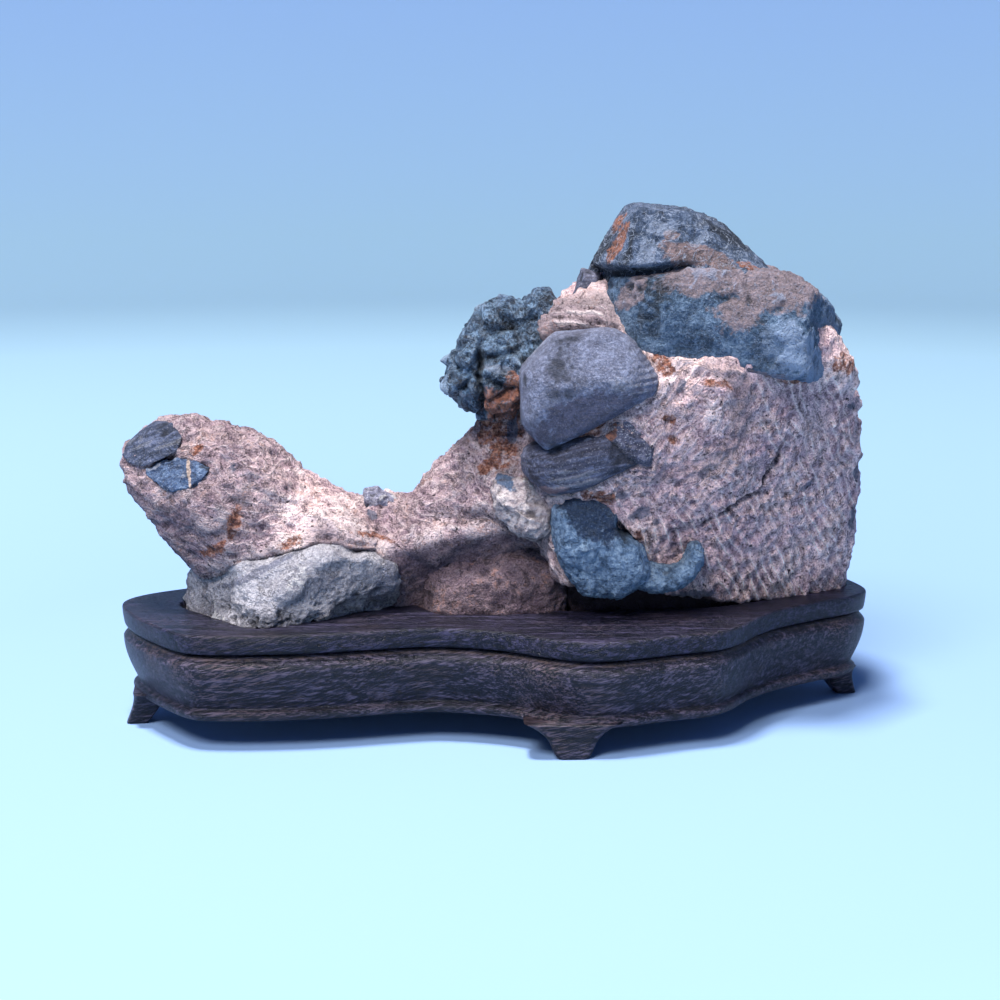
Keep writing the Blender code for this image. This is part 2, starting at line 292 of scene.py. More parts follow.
camera = bpy.data.cameras.new("camera")
camera.sensor_width, camera.lens = 36.0, 36.0 * LENS_OF_FRAME
camera.clip_start, camera.clip_end = 0.01, 10.0
camera_object = bpy.data.objects.new("camera", camera)
camera_object.location = AIM + CAMERA_DISTANCE * Vector(
    (0.0, -math.cos(CAMERA_RISE), math.sin(CAMERA_RISE))
)
camera_object.rotation_euler = (AIM - camera_object.location).to_track_quat("-Z", "Y").to_euler()
bpy.context.scene.collection.objects.link(camera_object)
bpy.context.scene.camera = camera_object

# ---------------------------------------------------------------------------------------
# The matrix of the stone, as plain forms: the gritty pinkish rock that holds everything. The
# block leans out over its foot at the right, and the arm runs down from it over the saddle
# and up into the head. Its surface is made last, round the clasts that are bedded in it.

STONE_BASE = 18.3  # where the stone is sawn flat


class Lump:
    """A rounded lump with flats, given like a map of distances from its own middle."""

    def __init__(self, outline, y, front, back, boxy=2.6, crisp=14, cuts=()):
        corners = np.array(outline, float)
        middle = corners.mean(axis=0)
        corners = corners - middle
        edges = np.roll(corners, -1, axis=0) - corners
        normals = np.stack([edges[:, 1], -edges[:, 0]], axis=1)
        normals /= np.linalg.norm(normals, axis=1)[:, None]
        reach = (normals * corners).sum(axis=1)
        self.flats = normals / reach[:, None]
        self.centre = np.array([middle[0], y, middle[1]])
        self.front, self.back, self.boxy, self.crisp = front, back, boxy, crisp
        self.cuts = np.array(cuts, float).reshape(-1, 3)
        self.half = np.array([np.ptp(corners[:, 0]), front + back, np.ptp(corners[:, 1])]) / 2.0

    def gauge(self, offsets):
        """How far out each offset from the middle is, as a share of the way to the surface.
        Seen from the front it is the largest share over the outline's edges, with corners
        rounded more the lower crisp is; it closes at the front and back as a rounded box, and
        each cut is one more flat, given by its point nearest to the middle."""
        across = np.clip(offsets[:, [0, 2]] @ self.flats.T, 0.0, None)
        around = (across**self.crisp).sum(axis=1) ** (1.0 / self.crisp)
        along = np.where(offsets[:, 1] < 0.0, -offsets[:, 1] / self.front, offsets[:, 1] / self.back)
        body = (around**self.boxy + along**self.boxy) ** (1.0 / self.boxy)
        cut = self.cuts / (self.cuts**2).sum(axis=1)[:, None]
        shares = np.clip(offsets @ cut.T, 0.0, None) ** self.crisp
        return (body**self.crisp + shares.sum(axis=1)) ** (1.0 / self.crisp)

    def outside(self, points):
        """Roughly how many millimetres each point is out from the surface."""
        offsets = points - self.centre
        far = np.linalg.norm(offsets, axis=1) + 1e-9
        return far * (1.0 - 1.0 / np.maximum(self.gauge(offsets), 1e-6))

    def ball(self, cells):
        """The lump's surface over a box lattice: rays go out from the middle to a gauge of 1."""
        lattice, quads, patches = boxed(cells)
        rays = np.tan(lattice * np.pi / 4.0) * self.half
        rays /= np.linalg.norm(rays, axis=1)[:, None]
        return self.centre + rays / self.gauge(rays)[:, None], quads, patches


def boxed(cells):
    """A closed box lattice: points from -1 to 1 each way, four corners for each square, and
    the corners' places on a flat map, in which each side of the box has a third by a half."""
    corner_rows, maps = [], []
    for side in range(6):
        axis, high = side % 3, side < 3
        i, j = (axis + 1) % 3, (axis + 2) % 3
        a, b = np.meshgrid(np.arange(cells[i] + 1), np.arange(cells[j] + 1), indexing="ij")
        spot = np.zeros((*a.shape, 3), np.int64)
        spot[..., i], spot[..., j], spot[..., axis] = a, b, cells[axis] * high
        place = np.stack([a / cells[i], b / cells[j]], axis=-1) * 0.96 + 0.02
        place = (place + [side % 3, side // 3]) / [3.0, 2.0]
        order = [(0, 0), (1, 0), (1, 1), (0, 1)] if high else [(0, 0), (0, 1), (1, 1), (1, 0)]
        for rows, grid in ((corner_rows, spot), (maps, place)):
            rows.append(np.stack([
                grid[di:di + cells[i], dj:dj + cells[j]].reshape(-1, grid.shape[-1])
                for di, dj in order
            ], axis=1))
    spots = np.concatenate(corner_rows)
    unique, quads = np.unique(spots.reshape(-1, 3), axis=0, return_inverse=True)
    return 2.0 * unique / np.array(cells) - 1.0, quads.reshape(-1, 4), np.concatenate(maps)


block = Lump(
    [(10, 12), (5, 38), (4.0, 60), (5.4, 67), (10.2, 73.0), (17, 76.6), (44, 76.5), (55.5, 69),
     (60.5, 60), (63.2, 49), (63.8, 31), (63.0, 20), (60, 12)],
    y=1.5, front=23.5, back=27, boxy=3.4, crisp=20,
    cuts=[(1.9, -18.4, -6.4), (8.7, -14.6, -5.2), (-3.0, -23.0, 13.5), (-18, 20, -2),
          (21, 20, 3), (2, 20, 18), (1, 22, -13)],
)
head = Lump(
    [(-64.2, 45.4), (-61.0, 38.6), (-57.8, 32.8), (-54.4, 29.0), (-49, 25.8), (-40, 25), (-33, 34),
     (-34.5, 42.6), (-41, 49.6), (-53.7, 52.4), (-59.8, 50.2)],
    y=-5, front=14, back=15, boxy=2.5, crisp=18,
    cuts=[(-5, -9.5, -4), (-3, -9, 6), (6, -12, 2), (-7, 10, -3), (2, 9, 9)],
)
shoulder = Lump(
    [(-46, 45.5), (-38.5, 46), (-28.5, 39), (-22, 36), (-19, 26), (-30, 17), (-45, 18), (-50, 34)],
    y=-4, front=12.5, back=15, crisp=18, cuts=[(1, -7, 6), (-1, 8, 8)],
)
saddle = Lump(
    [(-32, 37), (-24, 37), (-17, 37.9), (-9, 39.5), (2, 36), (4, 24), (0, 12), (-32, 12), (-37, 26)],
    y=-1.5, front=14, back=16, crisp=18,
    cuts=[(1.0, -7.6, -3.8), (-1.6, -5.4, 6.1), (0, 9, 7)],
)
neck = Lump(
    [(-15.2, 38), (-10.6, 44), (-7.6, 47.6), (-3, 51.6), (2, 57), (10, 62), (16, 50), (16, 20),
     (4, 12), (-14, 14)],
    y=-0.5, front=15, back=17, crisp=18,
    cuts=[(-2.5, -8.0, 4.5), (-1.6, -7.4, -6.6), (-7, 10, 5)],
)

# ---------------------------------------------------------------------------------------
# The oval clast: a water-worn slate pebble that stands proud of the block's upper left. The
# clasts are hard pebbles and chips, worn with the stone, and the matrix laps up round them.

lumps = {}


def scattered(cell, salt):
    """A repeatable number from 0 to 1 for each row of three whole numbers; each salt gives
    another set."""
    mixed = (cell[..., 0] * 73856093) ^ (cell[..., 1] * 19349663) ^ (cell[..., 2] * 83492791)
    mixed = (mixed ^ (salt * 26544357)) & 0xFFFFFFFF
    mixed = ((mixed ^ (mixed >> 15)) * 0x2C1B3C6D) & 0xFFFFFFFF
    mixed = ((mixed ^ (mixed >> 12)) * 0x297A2D39) & 0xFFFFFFFF
    return ((mixed ^ (mixed >> 15)) & 0xFFFFFF) / float(0x1000000)


def cloud(points, size, layers=3, salt=0):
    """Noise from about -1 to 1: random numbers at the corners of cells of the given size,
    blended smoothly between them, plus finer layers at half the size and half the height."""
    total = np.zeros(len(points))
    for layer in range(layers):
        spot = points * (2.0**layer / size) + 13.7 * layer
        cell = np.floor(spot).astype(np.int64)
        part = spot - cell
        part = part**3 * (part * (part * 6.0 - 15.0) + 10.0)
        for corner in np.ndindex(2, 2, 2):
            weight = np.where(corner, part, 1.0 - part).prod(axis=1)
            total += weight * (scattered(cell + np.array(corner), salt + layer) - 0.5) / 2.0**layer
    return 2.4 * total / (2.0 - 0.5 ** (layers - 1))


def crumbs(points, size, salt):
    """Distances, in cells, to the nearest and the second of points scattered one to a cell,
    and a random number from 0 to 1 that belongs to the nearest."""
    spot = points / size
    home = np.floor(spot).astype(np.int64)
    first = second = np.full(len(points), 9.0)
    own = np.zeros(len(points))
    for step in np.ndindex(3, 3, 3):
        cell = home + np.array(step) - 1
        seed = np.stack([scattered(cell, salt + axis) for axis in (1, 2, 3)], axis=1)
        far = np.linalg.norm(cell + seed - spot, axis=1)
        own = np.where(far < first, scattered(cell, salt + 4), own)
        second = np.minimum(second, np.maximum(first, far))
        first = np.minimum(first, far)
    return first, second, own


def crags(points, size, layers, salt):
    """Sharp crests between rounded hollows, from about -1 to 1: noise folded at its middle,
    with finer layers at half the size and height."""
    total = np.zeros(len(points))
    for layer in range(layers):
        fold = 1.0 - 3.2 * np.abs(cloud(points, size / 2.0**layer, 1, salt + 7 * layer))
        total += fold / 2.0**layer
    return total / (2.0 - 0.5 ** (layers - 1))


def plates(points, size, salt, crease):
    """Broken plates: each cell keeps a height of its own, from -0.5 to 0.5, down to a crease."""
    first, second, own = crumbs(points, size, salt)
    edge = eased(second - first, 0.0, crease)
    return (own - 0.5) * edge - 0.35 * (1.0 - edge)


def facets(points, size, salt, crisp=14.0):
    """Flat facets, from about -0.5 to 0.5: each cell has a plane of its own, tilted at random,
    and the planes meet in short bends."""
    spot = points / size
    home = np.floor(spot).astype(np.int64)
    total, weights = np.zeros(len(points)), np.full(len(points), 1e-9)
    for step in np.ndindex(3, 3, 3):
        cell = home + np.array(step) - 1
        seed = np.stack([scattered(cell, salt + axis) for axis in (1, 2, 3)], axis=1)
        tilt = np.stack([scattered(cell, salt + axis) for axis in (4, 5, 6)], axis=1) - 0.5
        off = spot - cell - seed
        weight = np.exp(-crisp * (off**2).sum(axis=1))
        total += weight * (1.8 * (tilt * off).sum(axis=1) + 0.6 * (scattered(cell, salt + 7) - 0.5))
        weights += weight
    return total / weights


def eased(value, low, high):
    """0 below low and 1 above high, with a smooth slope between them."""
    share = np.clip((value - low) / (high - low), 0.0, 1.0)
    return share * share * (3.0 - 2.0 * share)


def bell(value, wide):
    """1 where the value is 0, falling away on both sides of it over the given width."""
    return np.exp(-((value / wide) ** 2))


def blotch(points, *spots, ragged=0.35, salt=40):
    """1 inside any of some ragged ovals and 0 outside, seen from the front and carried through the whole
    depth. A spot is the X and Z of its middle, its half length and half height, and its tilt in degrees."""
    mask = np.zeros(len(points))
    edge = ragged * (cloud(points, 2.2, 3, salt) + 0.5 * cloud(points, 0.8, 2, salt + 5))
    for x, z, long, short, tilt in spots:
        turn = math.radians(tilt)
        across, up = points[:, 0] - x, points[:, 2] - z
        along = across * math.cos(turn) + up * math.sin(turn)
        off = up * math.cos(turn) - across * math.sin(turn)
        mask = np.maximum(mask, 1.0 - eased(np.hypot(along / long, off / short) + edge, 0.55, 1.25))
    return mask


def facing(points, quads):
    """The direction out of the surface at each point: the mean of its squares' diagonals crossed."""
    a, b, c, d = (points[quads[:, i]] for i in range(4))
    cross = np.cross(c - a, d - b)
    total = np.stack([
        sum(np.bincount(quads[:, i], cross[:, axis], len(points)) for i in range(4))
        for axis in range(3)
    ], axis=1)
    return total / (np.linalg.norm(total, axis=1)[:, None] + 1e-12)


def stone_piece(name, points, quads, patches, finish, marks):
    """A piece of the rock, sawn flat at its base: its mesh, flat map, marks and finish."""
    points = points.copy()
    points[:, 2] = np.maximum(points[:, 2], STONE_BASE)
    piece = dressed(name, points, quads, patches, marks, finish)
    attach(piece, "root")
    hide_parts("rock")


def clast(name, lump, cells, finish, relief, rust=(), patch=(), pale=(), dark=(), host=None,
          proud=0.0, shape=None):
    """A bedded clast: the lump's ball, or a shape of its own, moved in and out by its relief in
    millimetres. Where a host is given, the clast is worn down to stand only a little proud of it. Its
    low mark is painted shade, in the relief's hollows and over the dark spots, and its high mark a paler
    crest, for wear and a painted highlight."""
    points, quads, patches = shape or lump.ball(cells)
    if host:
        excess = np.clip(host.outside(points) - proud, 0.0, None)
        inward = host.centre - points
        points = points + inward / np.linalg.norm(inward, axis=1)[:, None] * (0.8 * excess)[:, None]
    normals = facing(points, quads)
    lift = relief(points, normals)
    fine = (lift - lift.mean()) / (lift.std() + 1e-9)
    # Painted shade in the hollows and over the dark spots, and a paler crest on the high relief.
    marks = {"low": np.maximum(eased(-fine, 0.7, 2.3), blotch(points, *dark)),
             "high": eased(fine, 0.6, 2.2),
             "rust": blotch(points, *rust), "patch": blotch(points, *patch),
             "pale": blotch(points, *pale)}
    lumps[name] = lump
    stone_piece(name, points + normals * lift[:, None], quads, patches, finish, marks)


def stone_finish(name, deep, body, pale, blot, grit, height=0.12, rough=0.8,
                 streak=None, patch=(150, 120, 110), speck=(205, 198, 190), specks=0.5, worn=0.5,
                 cracks=0.7, veins=0.0):
    """A clast's surface: three tones in blots and grit, pale specks, paler crests that are wear and a
    painted highlight, darker hollows that are painted shade, fine dark cracks and pale veins, and rust,
    a pale film or a second colour where those marks are high. A streak is a size along and across in
    millimetres and the turn that lays its length along X."""
    finish = Finish(name, Specular_IOR_Level=0.35)
    sand = finish.grain(grit, 5.0, 0.7)
    tone = 0.5 * finish.grain(blot, 4.0) + 0.5 * sand
    if streak:
        long, thin, turn = streak
        tone = 0.5 * tone + 0.5 * finish.grain(
            1.0, 3.0, 0.5, stretch=(long, thin, thin), turn=turn)
    colour = finish.ramp(tone, (0.38, linear(*deep)), (0.5, linear(*body)), (0.61, linear(*pale)))
    edge = finish.broken("patch", 2.4, 1.8, 6.0, 0.75)
    second = finish.ramp(tone, (0.38, shaded(0.5, patch)), (0.6, shaded(1.15, patch)))
    colour = finish.blend(edge.over(0.3, 0.8), colour, second)
    faded = finish.broken("pale", 2.0, 1.6, 5.0, 0.7)
    # Paler crests: partly wear, partly a painted highlight on the high relief.
    crest = (finish.reading("high") + 1.2 * (sand - 0.5)).over(0.4, 0.9) * worn
    crest = crest + faded.over(0.5, 0.56) * 0.3
    fleck = finish.grain(grit * 0.5, 2.0, 0.5).over(0.58, 0.70) * specks
    colour = finish.blend((fleck + crest).clamped(), colour, linear(*speck))
    stain = finish.broken("rust", 1.8, 1.0, 5.0, 0.72)
    rust = finish.ramp(sand, (0.38, linear(80, 50, 44)), (0.6, linear(150, 98, 76)))
    colour = finish.blend(stain.over(0.35, 0.8), colour, rust)
    # Painted shade: the relief's hollows and the dark spots take the deep tone, with darker specks at
    # random.
    hollow = finish.reading("low") * 0.85 + finish.grain(grit * 0.8, 3.0, 0.6).over(0.60, 0.70) * 0.6
    colour = finish.blend(hollow.clamped(), colour, shaded(0.25, deep))
    crack = finish.hairlines(grit * 6.0, 5.0, 0.6, 0.4, 34.0)
    crack = crack * finish.grain(grit * 5.0, 3.0, 0.6).over(0.46, 0.58)
    colour = finish.blend(crack * cracks, colour, shaded(0.25, deep))
    vein = finish.hairlines(grit * 5.0, 4.0, 0.6, 1.2, 42.0) * veins
    colour = finish.blend(vein, colour, linear(*speck))
    bump = sand * 0.6 + finish.grain(grit * 2.6, 5.0, 0.65) - crack * 0.12 + vein * 0.1
    return finish.done(colour, rough - 0.15 * tone, finish.bumps(bump, height * 9.0))


def smooth_pebble(points, normals):
    """The relief of a water-worn face: a slow swell and a fine tooth."""
    return 0.25 * cloud(points, 5.0, 2, 3) + 0.06 * cloud(points, 0.9, 2, 5)


def oval_relief(points, normals):
    """A worn face whose tip at the right is ribbed by thin layers, a millimetre apart, and
    whose upper half is pocked."""
    ribs = np.sin((points[:, 2] - 0.06 * (points[:, 0] - 20.0)) * 2.0 * np.pi / 1.05)
    tip = eased(points[:, 0] + 0.4 * cloud(points, 2.0), 20.0, 23.5)
    first, _, _ = crumbs(points * [1.0, 1.0, 0.6], 0.95, 6)
    pocks = (1.0 - eased(first, 0.2, 0.5)) * eased(points[:, 2], 58.5, 61.5)
    return smooth_pebble(points, normals) + 0.10 * ribs * tip - 0.05 * pocks


clast(
    "oval_clast",
    Lump([(3.2, 53), (3.2, 61.8), (9.0, 67.8), (18, 68.9), (22, 67), (25.9, 61.2), (25.7, 58.6),
          (16.3, 52.9), (7.4, 48.6)], y=-16.5, front=9.5, back=9, boxy=3.2, crisp=30,
         cuts=[(-0.6, -7.2, 4.6), (0.6, -8.2, -3.0)]),
    (84, 56, 66), stone_finish("oval_slate", (72, 74, 88), (94, 97, 114), (122, 127, 146),
                               blot=1.6, grit=0.4, height=0.10, rough=0.6, specks=0.12, worn=0.12,
                               patch=(80, 78, 94), cracks=0.1),
    # The darker patch across its lower face is painted shade on the face that looks down.
    oval_relief, patch=[(13.0, 55.2, 9.5, 3.4, 24)],
)

# ---------------------------------------------------------------------------------------
# Two flatter clasts under the oval one, split along their layers.


def layered(angle, pitch, height):
    """A relief of parallel layers: a rounded saw along the slope given in degrees."""
    turn = math.radians(angle)

    def relief(points, normals):
        across = points[:, 2] * math.cos(turn) - points[:, 0] * math.sin(turn)
        across = across + 0.5 * cloud(points, 4.0, 3, 8)
        saw = np.mod(across / pitch, 1.0)
        depth = height * (0.6 + 0.8 * cloud(points, 3.0, 2, 9))
        return smooth_pebble(points, normals) + depth * (eased(saw, 0.0, 0.75) - eased(saw, 0.75, 1.0))

    return relief


slate = stone_finish("layered_slate", (44, 42, 54), (68, 68, 82), (98, 100, 118), blot=2.4,
                     grit=0.5, height=0.08, rough=0.68, streak=(5.0, 0.45, (0, 12, 0)), specks=0.2,
                     patch=(118, 92, 94), worn=0.12)
clast(
    "lower_oval_clast",
    Lump([(3.6, 44.3), (3.6, 48.3), (9.8, 51.4), (19.5, 53.7), (23.4, 50.8), (25.2, 46.3),
          (18, 43.4), (14, 41.4), (8.0, 40.8)], y=-14, front=9, back=8, boxy=2.3, crisp=22,
         cuts=[(0.3, -7.4, -2.6)]),
    (70, 48, 42), slate, layered(13, 1.3, 0.22), patch=[(8.0, 42.4, 3.0, 0.8, 10)],
)
clast(
    "violet_clast",
    Lump([(15.6, 51.4), (18.1, 55.0), (22.0, 56.3), (26.0, 49), (24.8, 45.9), (20, 46.6)],
         y=-16.2, front=6.5, back=6, boxy=2.4, crisp=20, cuts=[(0.8, -5.0, 0.8)]),
    (30, 30, 34),
    stone_finish("violet_slate", (44, 42, 54), (74, 72, 86), (112, 108, 120), blot=2.0, grit=0.5,
                 height=0.08, rough=0.7, patch=(122, 112, 102)),
    layered(-30, 1.8, 0.25), rust=[(17.8, 52.0, 1.2, 2.0, -30)],
)

# ---------------------------------------------------------------------------------------
# The long slab that lies under the top: a teal bed, tan above, flaked at its right end.


def slab_relief(points, normals):
    """Broken plates over flat faces, a raised flake at the right, and cracks in the end."""
    flake = blotch(points, (47.4, 66.0, 4.6, 4.0, -20), (51.0, 62.5, 3.0, 3.0, 0), ragged=0.35)
    crack = plates(points * [1.0, 1.0, 0.45], 3.0, 31, 0.12) * eased(points[:, 0], 50.0, 52.0)
    tan = eased(points[:, 2] + 1.2 * cloud(points, 3.0, 2, 12), 70.0, 73.0)
    rough = 0.2 * cloud(points, 7.0, 2, 14) + 0.4 * facets(points * [0.7, 1.0, 1.0], 6.0, 17, 30.0)
    rough += (0.08 + 0.2 * tan) * crags(points, 1.6, 3, 16) + 0.16 * facets(points, 1.8, 19)
    return rough + 0.35 * eased(flake, 0.47, 0.53) + 0.2 * crack


clast(
    "long_slab",
    Lump([(16.6, 73), (18.4, 76.6), (32, 78.4), (43, 77.9), (50.0, 75.9), (54.6, 72.4), (58.2, 68),
          (57.4, 64.5), (53.8, 59.5), (42, 61), (32, 62.2), (22.6, 64.0), (17.4, 69)],
         y=-3, front=21, back=11, boxy=6, crisp=50,
         cuts=[(-1, -18.0, -1.5), (1, -14.5, 7.5), (15.6, -8.0, 0.5), (-18.5, -13.5, 1.5), (5, 13, 6)]),
    (116, 72, 52),
    stone_finish("slab_teal", (32, 48, 64), (56, 78, 100), (94, 114, 134), blot=4.0, grit=0.5,
                 height=0.16, patch=(126, 110, 112), speck=(136, 152, 174), specks=0.2, worn=0.35,
                 cracks=0.25, veins=0.25),
    slab_relief,
    rust=[(27, 62.8, 3.2, 0.9, -10), (55.5, 63.0, 1.0, 1.8, 60)],
    patch=[(44.0, 75.4, 10.0, 4.4, -3), (32.2, 76.6, 8.0, 3.0, 0), (38.4, 71.4, 5.0, 3.0, 0),
           (21.6, 75.0, 1.8, 4.4, -28), (48.0, 75.6, 5.4, 4.4, 0), (40.0, 61.6, 9.0, 0.9, -4)],
    pale=[(46.0, 66.4, 5.4, 4.4, -20), (51.0, 63.5, 3.8, 4.0, 0), (54.8, 69.0, 2.6, 7.5, 8)],
)

# ---------------------------------------------------------------------------------------
# The top clast: a chipped pyramid with sharp edges, that a dark gap parts from the slab.


def chipped(points, normals):
    """Broken faces: plates at two sizes with creases between them, and sharp small crests."""
    tilted = points @ np.array([[0.9, 0.0, 0.45], [0.0, 1.0, 0.0], [-0.45, 0.0, 0.9]])
    large = facets(tilted * [1.0, 0.8, 0.7], 7.0, 21, 40.0)
    small = facets(tilted * [1.0, 1.0, 0.6], 2.6, 24, 30.0)
    sill = eased(78.4 + 0.09 * (points[:, 0] - 17.0) - points[:, 2], 0.0, 0.7) * (points[:, 1] < 0.0)
    sill *= eased(33.0 - points[:, 0], 0.0, 4.0)
    return 0.6 * large + 0.4 * small + 0.07 * crags(points, 1.6, 2, 26) - 2.4 * sill


top_outline = Lump(
    [(14.8, 75.5), (15.6, 78.4), (21.0, 87.2), (22.6, 87.8), (30.4, 87.2), (34.6, 86.2),
     (36.4, 84.6), (44.8, 80.4), (47.4, 77.2), (42, 71), (18, 71)],
    y=-3, front=15, back=15, boxy=8, crisp=90,
    cuts=[(1.25, -11.6, 4.4), (-12.5, -7.3, 3.0), (5.2, -4.7, 6.8), (-5, 9, 4), (6, 9, 4)])
clast(
    "top_clast", top_outline, (90, 66, 52),
    stone_finish("top_clast_chert", (32, 42, 56), (60, 74, 94), (104, 116, 136), blot=1.8,
                 grit=0.5, height=0.16, patch=(118, 98, 96), speck=(158, 166, 180), specks=0.15,
                 worn=0.25, veins=0.6),
    chipped,
    patch=[(29.6, 80.6, 4.2, 1.9, -12), (34.8, 79.6, 4.4, 1.5, -30), (28.0, 83.6, 1.6, 0.9, 0)],
    rust=[(18.9, 81.8, 0.8, 4.6, -21), (41.5, 77.5, 3.4, 0.8, -28)],
    pale=[(23.4, 80.6, 1.6, 3.4, -16), (26.4, 84.6, 3.4, 1.2, 8), (32.4, 82.8, 2.0, 0.8, 30)],
    # Painted shade: the left facet, the ridge line and the right facet's band are darkened where shade
    # falls.
    dark=[(16.6, 80.6, 1.0, 4.8, -26), (20.9, 81.6, 0.6, 4.4, -14), (36.6, 83.4, 0.9, 5.6, 62)],
)

# ---------------------------------------------------------------------------------------
# The kidney-shaped clast low on the front, with its tail: a coarse blue-green sandstone.


def granular(points, normals):
    """A crystalline face: slow swells and grains a millimetre across."""
    return (0.15 * cloud(points, 4.0, 3, 35) + 0.5 * facets(points, 5.0, 33, 40.0)
            + 0.3 * facets(points, 1.2, 34, 30.0) + 0.12 * crags(points, 1.6, 3, 36))


def kidney_relief(points, normals):
    """Granular, with a ridge that climbs across it and a hollow at its waist."""
    waist = np.hypot(points[:, 0] - 21.4, points[:, 2] - 36.5)
    fold = points[:, 2] - (33.4 + 0.85 * (points[:, 0] - 14.0)) + 0.6 * cloud(points, 3.0, 2, 37)
    ridge = bell(fold, 0.9) * eased(points[:, 0], 11.0, 14.0)
    return granular(points, normals) + 0.45 * ridge - 1.8 * bell(waist, 2.6)


sandstone = stone_finish("teal_sandstone", (60, 80, 102), (108, 132, 156), (152, 172, 190), blot=1.4,
                         grit=0.6, height=0.24, patch=(48, 64, 88), speck=(150, 166, 180), specks=0.2,
                         worn=0.5, cracks=0.5, veins=0.1)
clast(
    "kidney_clast",
    Lump([(8.2, 34), (8.6, 39.4), (12.1, 41.6), (16.6, 40.8), (19.6, 38.6), (24.6, 31.5),
          (25.4, 26.3), (19.4, 22.8), (13.6, 23.4), (9.6, 28.8)],
         y=-11, front=10.5, back=8, boxy=3.4, crisp=24, cuts=[(2, -8.8, 2.6), (-1.5, -8.6, -3.6)]),
    (60, 46, 62), sandstone, kidney_relief, rust=[(21.0, 38.4, 1.8, 1.2, -30)],
    patch=[(15.0, 37.8, 5.6, 3.6, -35)],
)


def grid_map(rows, columns, closed, left, low, wide, high):
    """The places of a grid's corners, square by square, on a panel of the flat map."""
    i, j = np.meshgrid(np.arange(rows - 1), np.arange(columns if closed else columns - 1),
                       indexing="ij")
    across = np.stack([j, j + 1, j + 1, j], axis=-1).reshape(-1, 4) / (columns - 1 + closed)
    up = np.stack([i, i, i + 1, i + 1], axis=-1).reshape(-1, 4) / (rows - 1)
    return np.stack([left + wide * across, low + high * up], axis=-1)


def hooked_tail(around, along):
    """A tapering tail on a bent path: at each step along it, a rounded ring that is taller
    than it is deep; the ends close to points."""
    path = np.array([(20.0, 27.0), (23.0, 27.2), (26.0, 26.2), (29.0, 26.2), (31.4, 27.6),
                     (32.6, 30.0), (32.4, 32.6)])
    share = np.linspace(0.0, 1.0, along)
    at = share * (len(path) - 1)
    middle = np.stack([np.interp(at, np.arange(len(path)), path[:, axis]) for axis in (0, 1)], axis=1)
    for _ in range(3):
        middle[1:-1] = (middle[:-2] + middle[1:-1] + middle[2:]) / 3.0
    slope = np.gradient(middle, axis=0)
    slope /= np.linalg.norm(slope, axis=1)[:, None]
    thick = (2.9 - 1.5 * share) * np.clip(1.0 - (2.0 * share - 1.0) ** 10, 0.0, None) ** 0.5
    turn = np.linspace(0.0, 2.0 * np.pi, around + 1)[:-1]
    up = (thick[:, None] * np.sin(turn))[..., None] * np.stack(
        [-slope[:, 1], slope[:, 0]], axis=1)[:, None]
    front = -14.0 + 3.2 * thick[:, None] / 2.0 * np.cos(turn)
    points = np.stack([middle[:, None, 0] + up[..., 0], front, middle[:, None, 1] + up[..., 1]], axis=-1)
    places = grid_map(along, around, True, 0.02, 0.02, 0.96, 0.96)[:, TURNED_OVER, ::-1]
    return points.reshape(-1, 3), strip_quads(along, around, True)[:, TURNED_OVER], places


clast(
    "kidney_tail",
    Lump([(22, 25.0), (22, 27.6), (32, 28.4), (33.6, 27.6), (32, 24.8), (27, 24.2)],
         y=-9.5, front=8.5, back=7, crisp=20),
    None, sandstone, granular, shape=hooked_tail(36, 90),
)

# ---------------------------------------------------------------------------------------
# The dark lump that overhangs the neck, with its ball and a pebble: crinkled black chert.


def crinkled(points, normals):
    """Knuckles parted by deep creases, sharp crests over them, and one deep upright crack."""
    first, second, own = crumbs(points * [1.0, 1.0, 1.2], 6.4, 50)
    knuckle = 1.6 * eased(second - first, 0.0, 0.22) + 0.8 * (own - 0.5)
    bend = points[:, 0] + 3.3 + 0.5 * cloud(points, 3.0, 2, 55)
    crack = bell(bend, 0.6) * eased(66.5 - points[:, 2], 0.0, 3.0)
    return (0.6 * (knuckle - 1.2) + 0.16 * crags(points, 2.6, 3, 51)
            + 1.7 * facets(points, 3.6, 59, 50.0) - 2.2 * crack * (points[:, 1] < -6.0))


chert = stone_finish("black_chert", (14, 18, 26), (46, 62, 78), (104, 126, 146), blot=2.0, grit=0.5,
                     height=0.12, rough=0.45, speck=(140, 156, 172), specks=0.3,
                     patch=(100, 108, 120), worn=0.6, cracks=1.0, veins=0.4)
clast(
    "dark_lump",
    Lump([(-10.4, 58.2), (-10.2, 63.4), (-6.2, 67.2), (-5.0, 70.4), (0, 72.0), (7, 72.2), (10, 66),
          (8, 58), (3, 53.6), (-1.9, 51.9), (-8.2, 55.5)],
         y=-5.5, front=10, back=11, boxy=3.2, crisp=26, cuts=[(-6.6, -7.6, 1.5), (1, -7.8, 3)]),
    (68, 60, 66), chert, crinkled, rust=[(0.4, 55.2, 4.2, 3.6, 20), (2.0, 59.0, 1.6, 2.6, 0)],
    patch=[(-0.5, 61.6, 3.6, 0.9, -8), (-7.0, 56.6, 2.4, 1.0, -20)],
)
clast("chert_ball", Lump([(3.6, 71), (5.6, 74.2), (8.4, 74.4), (9.6, 71.9), (8.2, 68.2), (4.6, 68.2)],
                         y=-7.5, front=3.2, back=3.5, crisp=14),
      (26, 24, 26), chert, lambda points, normals: 0.35 * cloud(points, 1.6, 3, 57))
clast("top_pebble", Lump([(12.0, 72.6), (13.6, 77.3), (16.8, 76.5), (17, 72)],
                         y=-5.5, front=3.5, back=4, crisp=20),
      (24, 24, 26), slate, lambda points, normals: 0.3 * cloud(points, 1.8, 3, 58))

# ---------------------------------------------------------------------------------------
# The pale lump in the fold between the neck and the block, with a blue cap of its own.


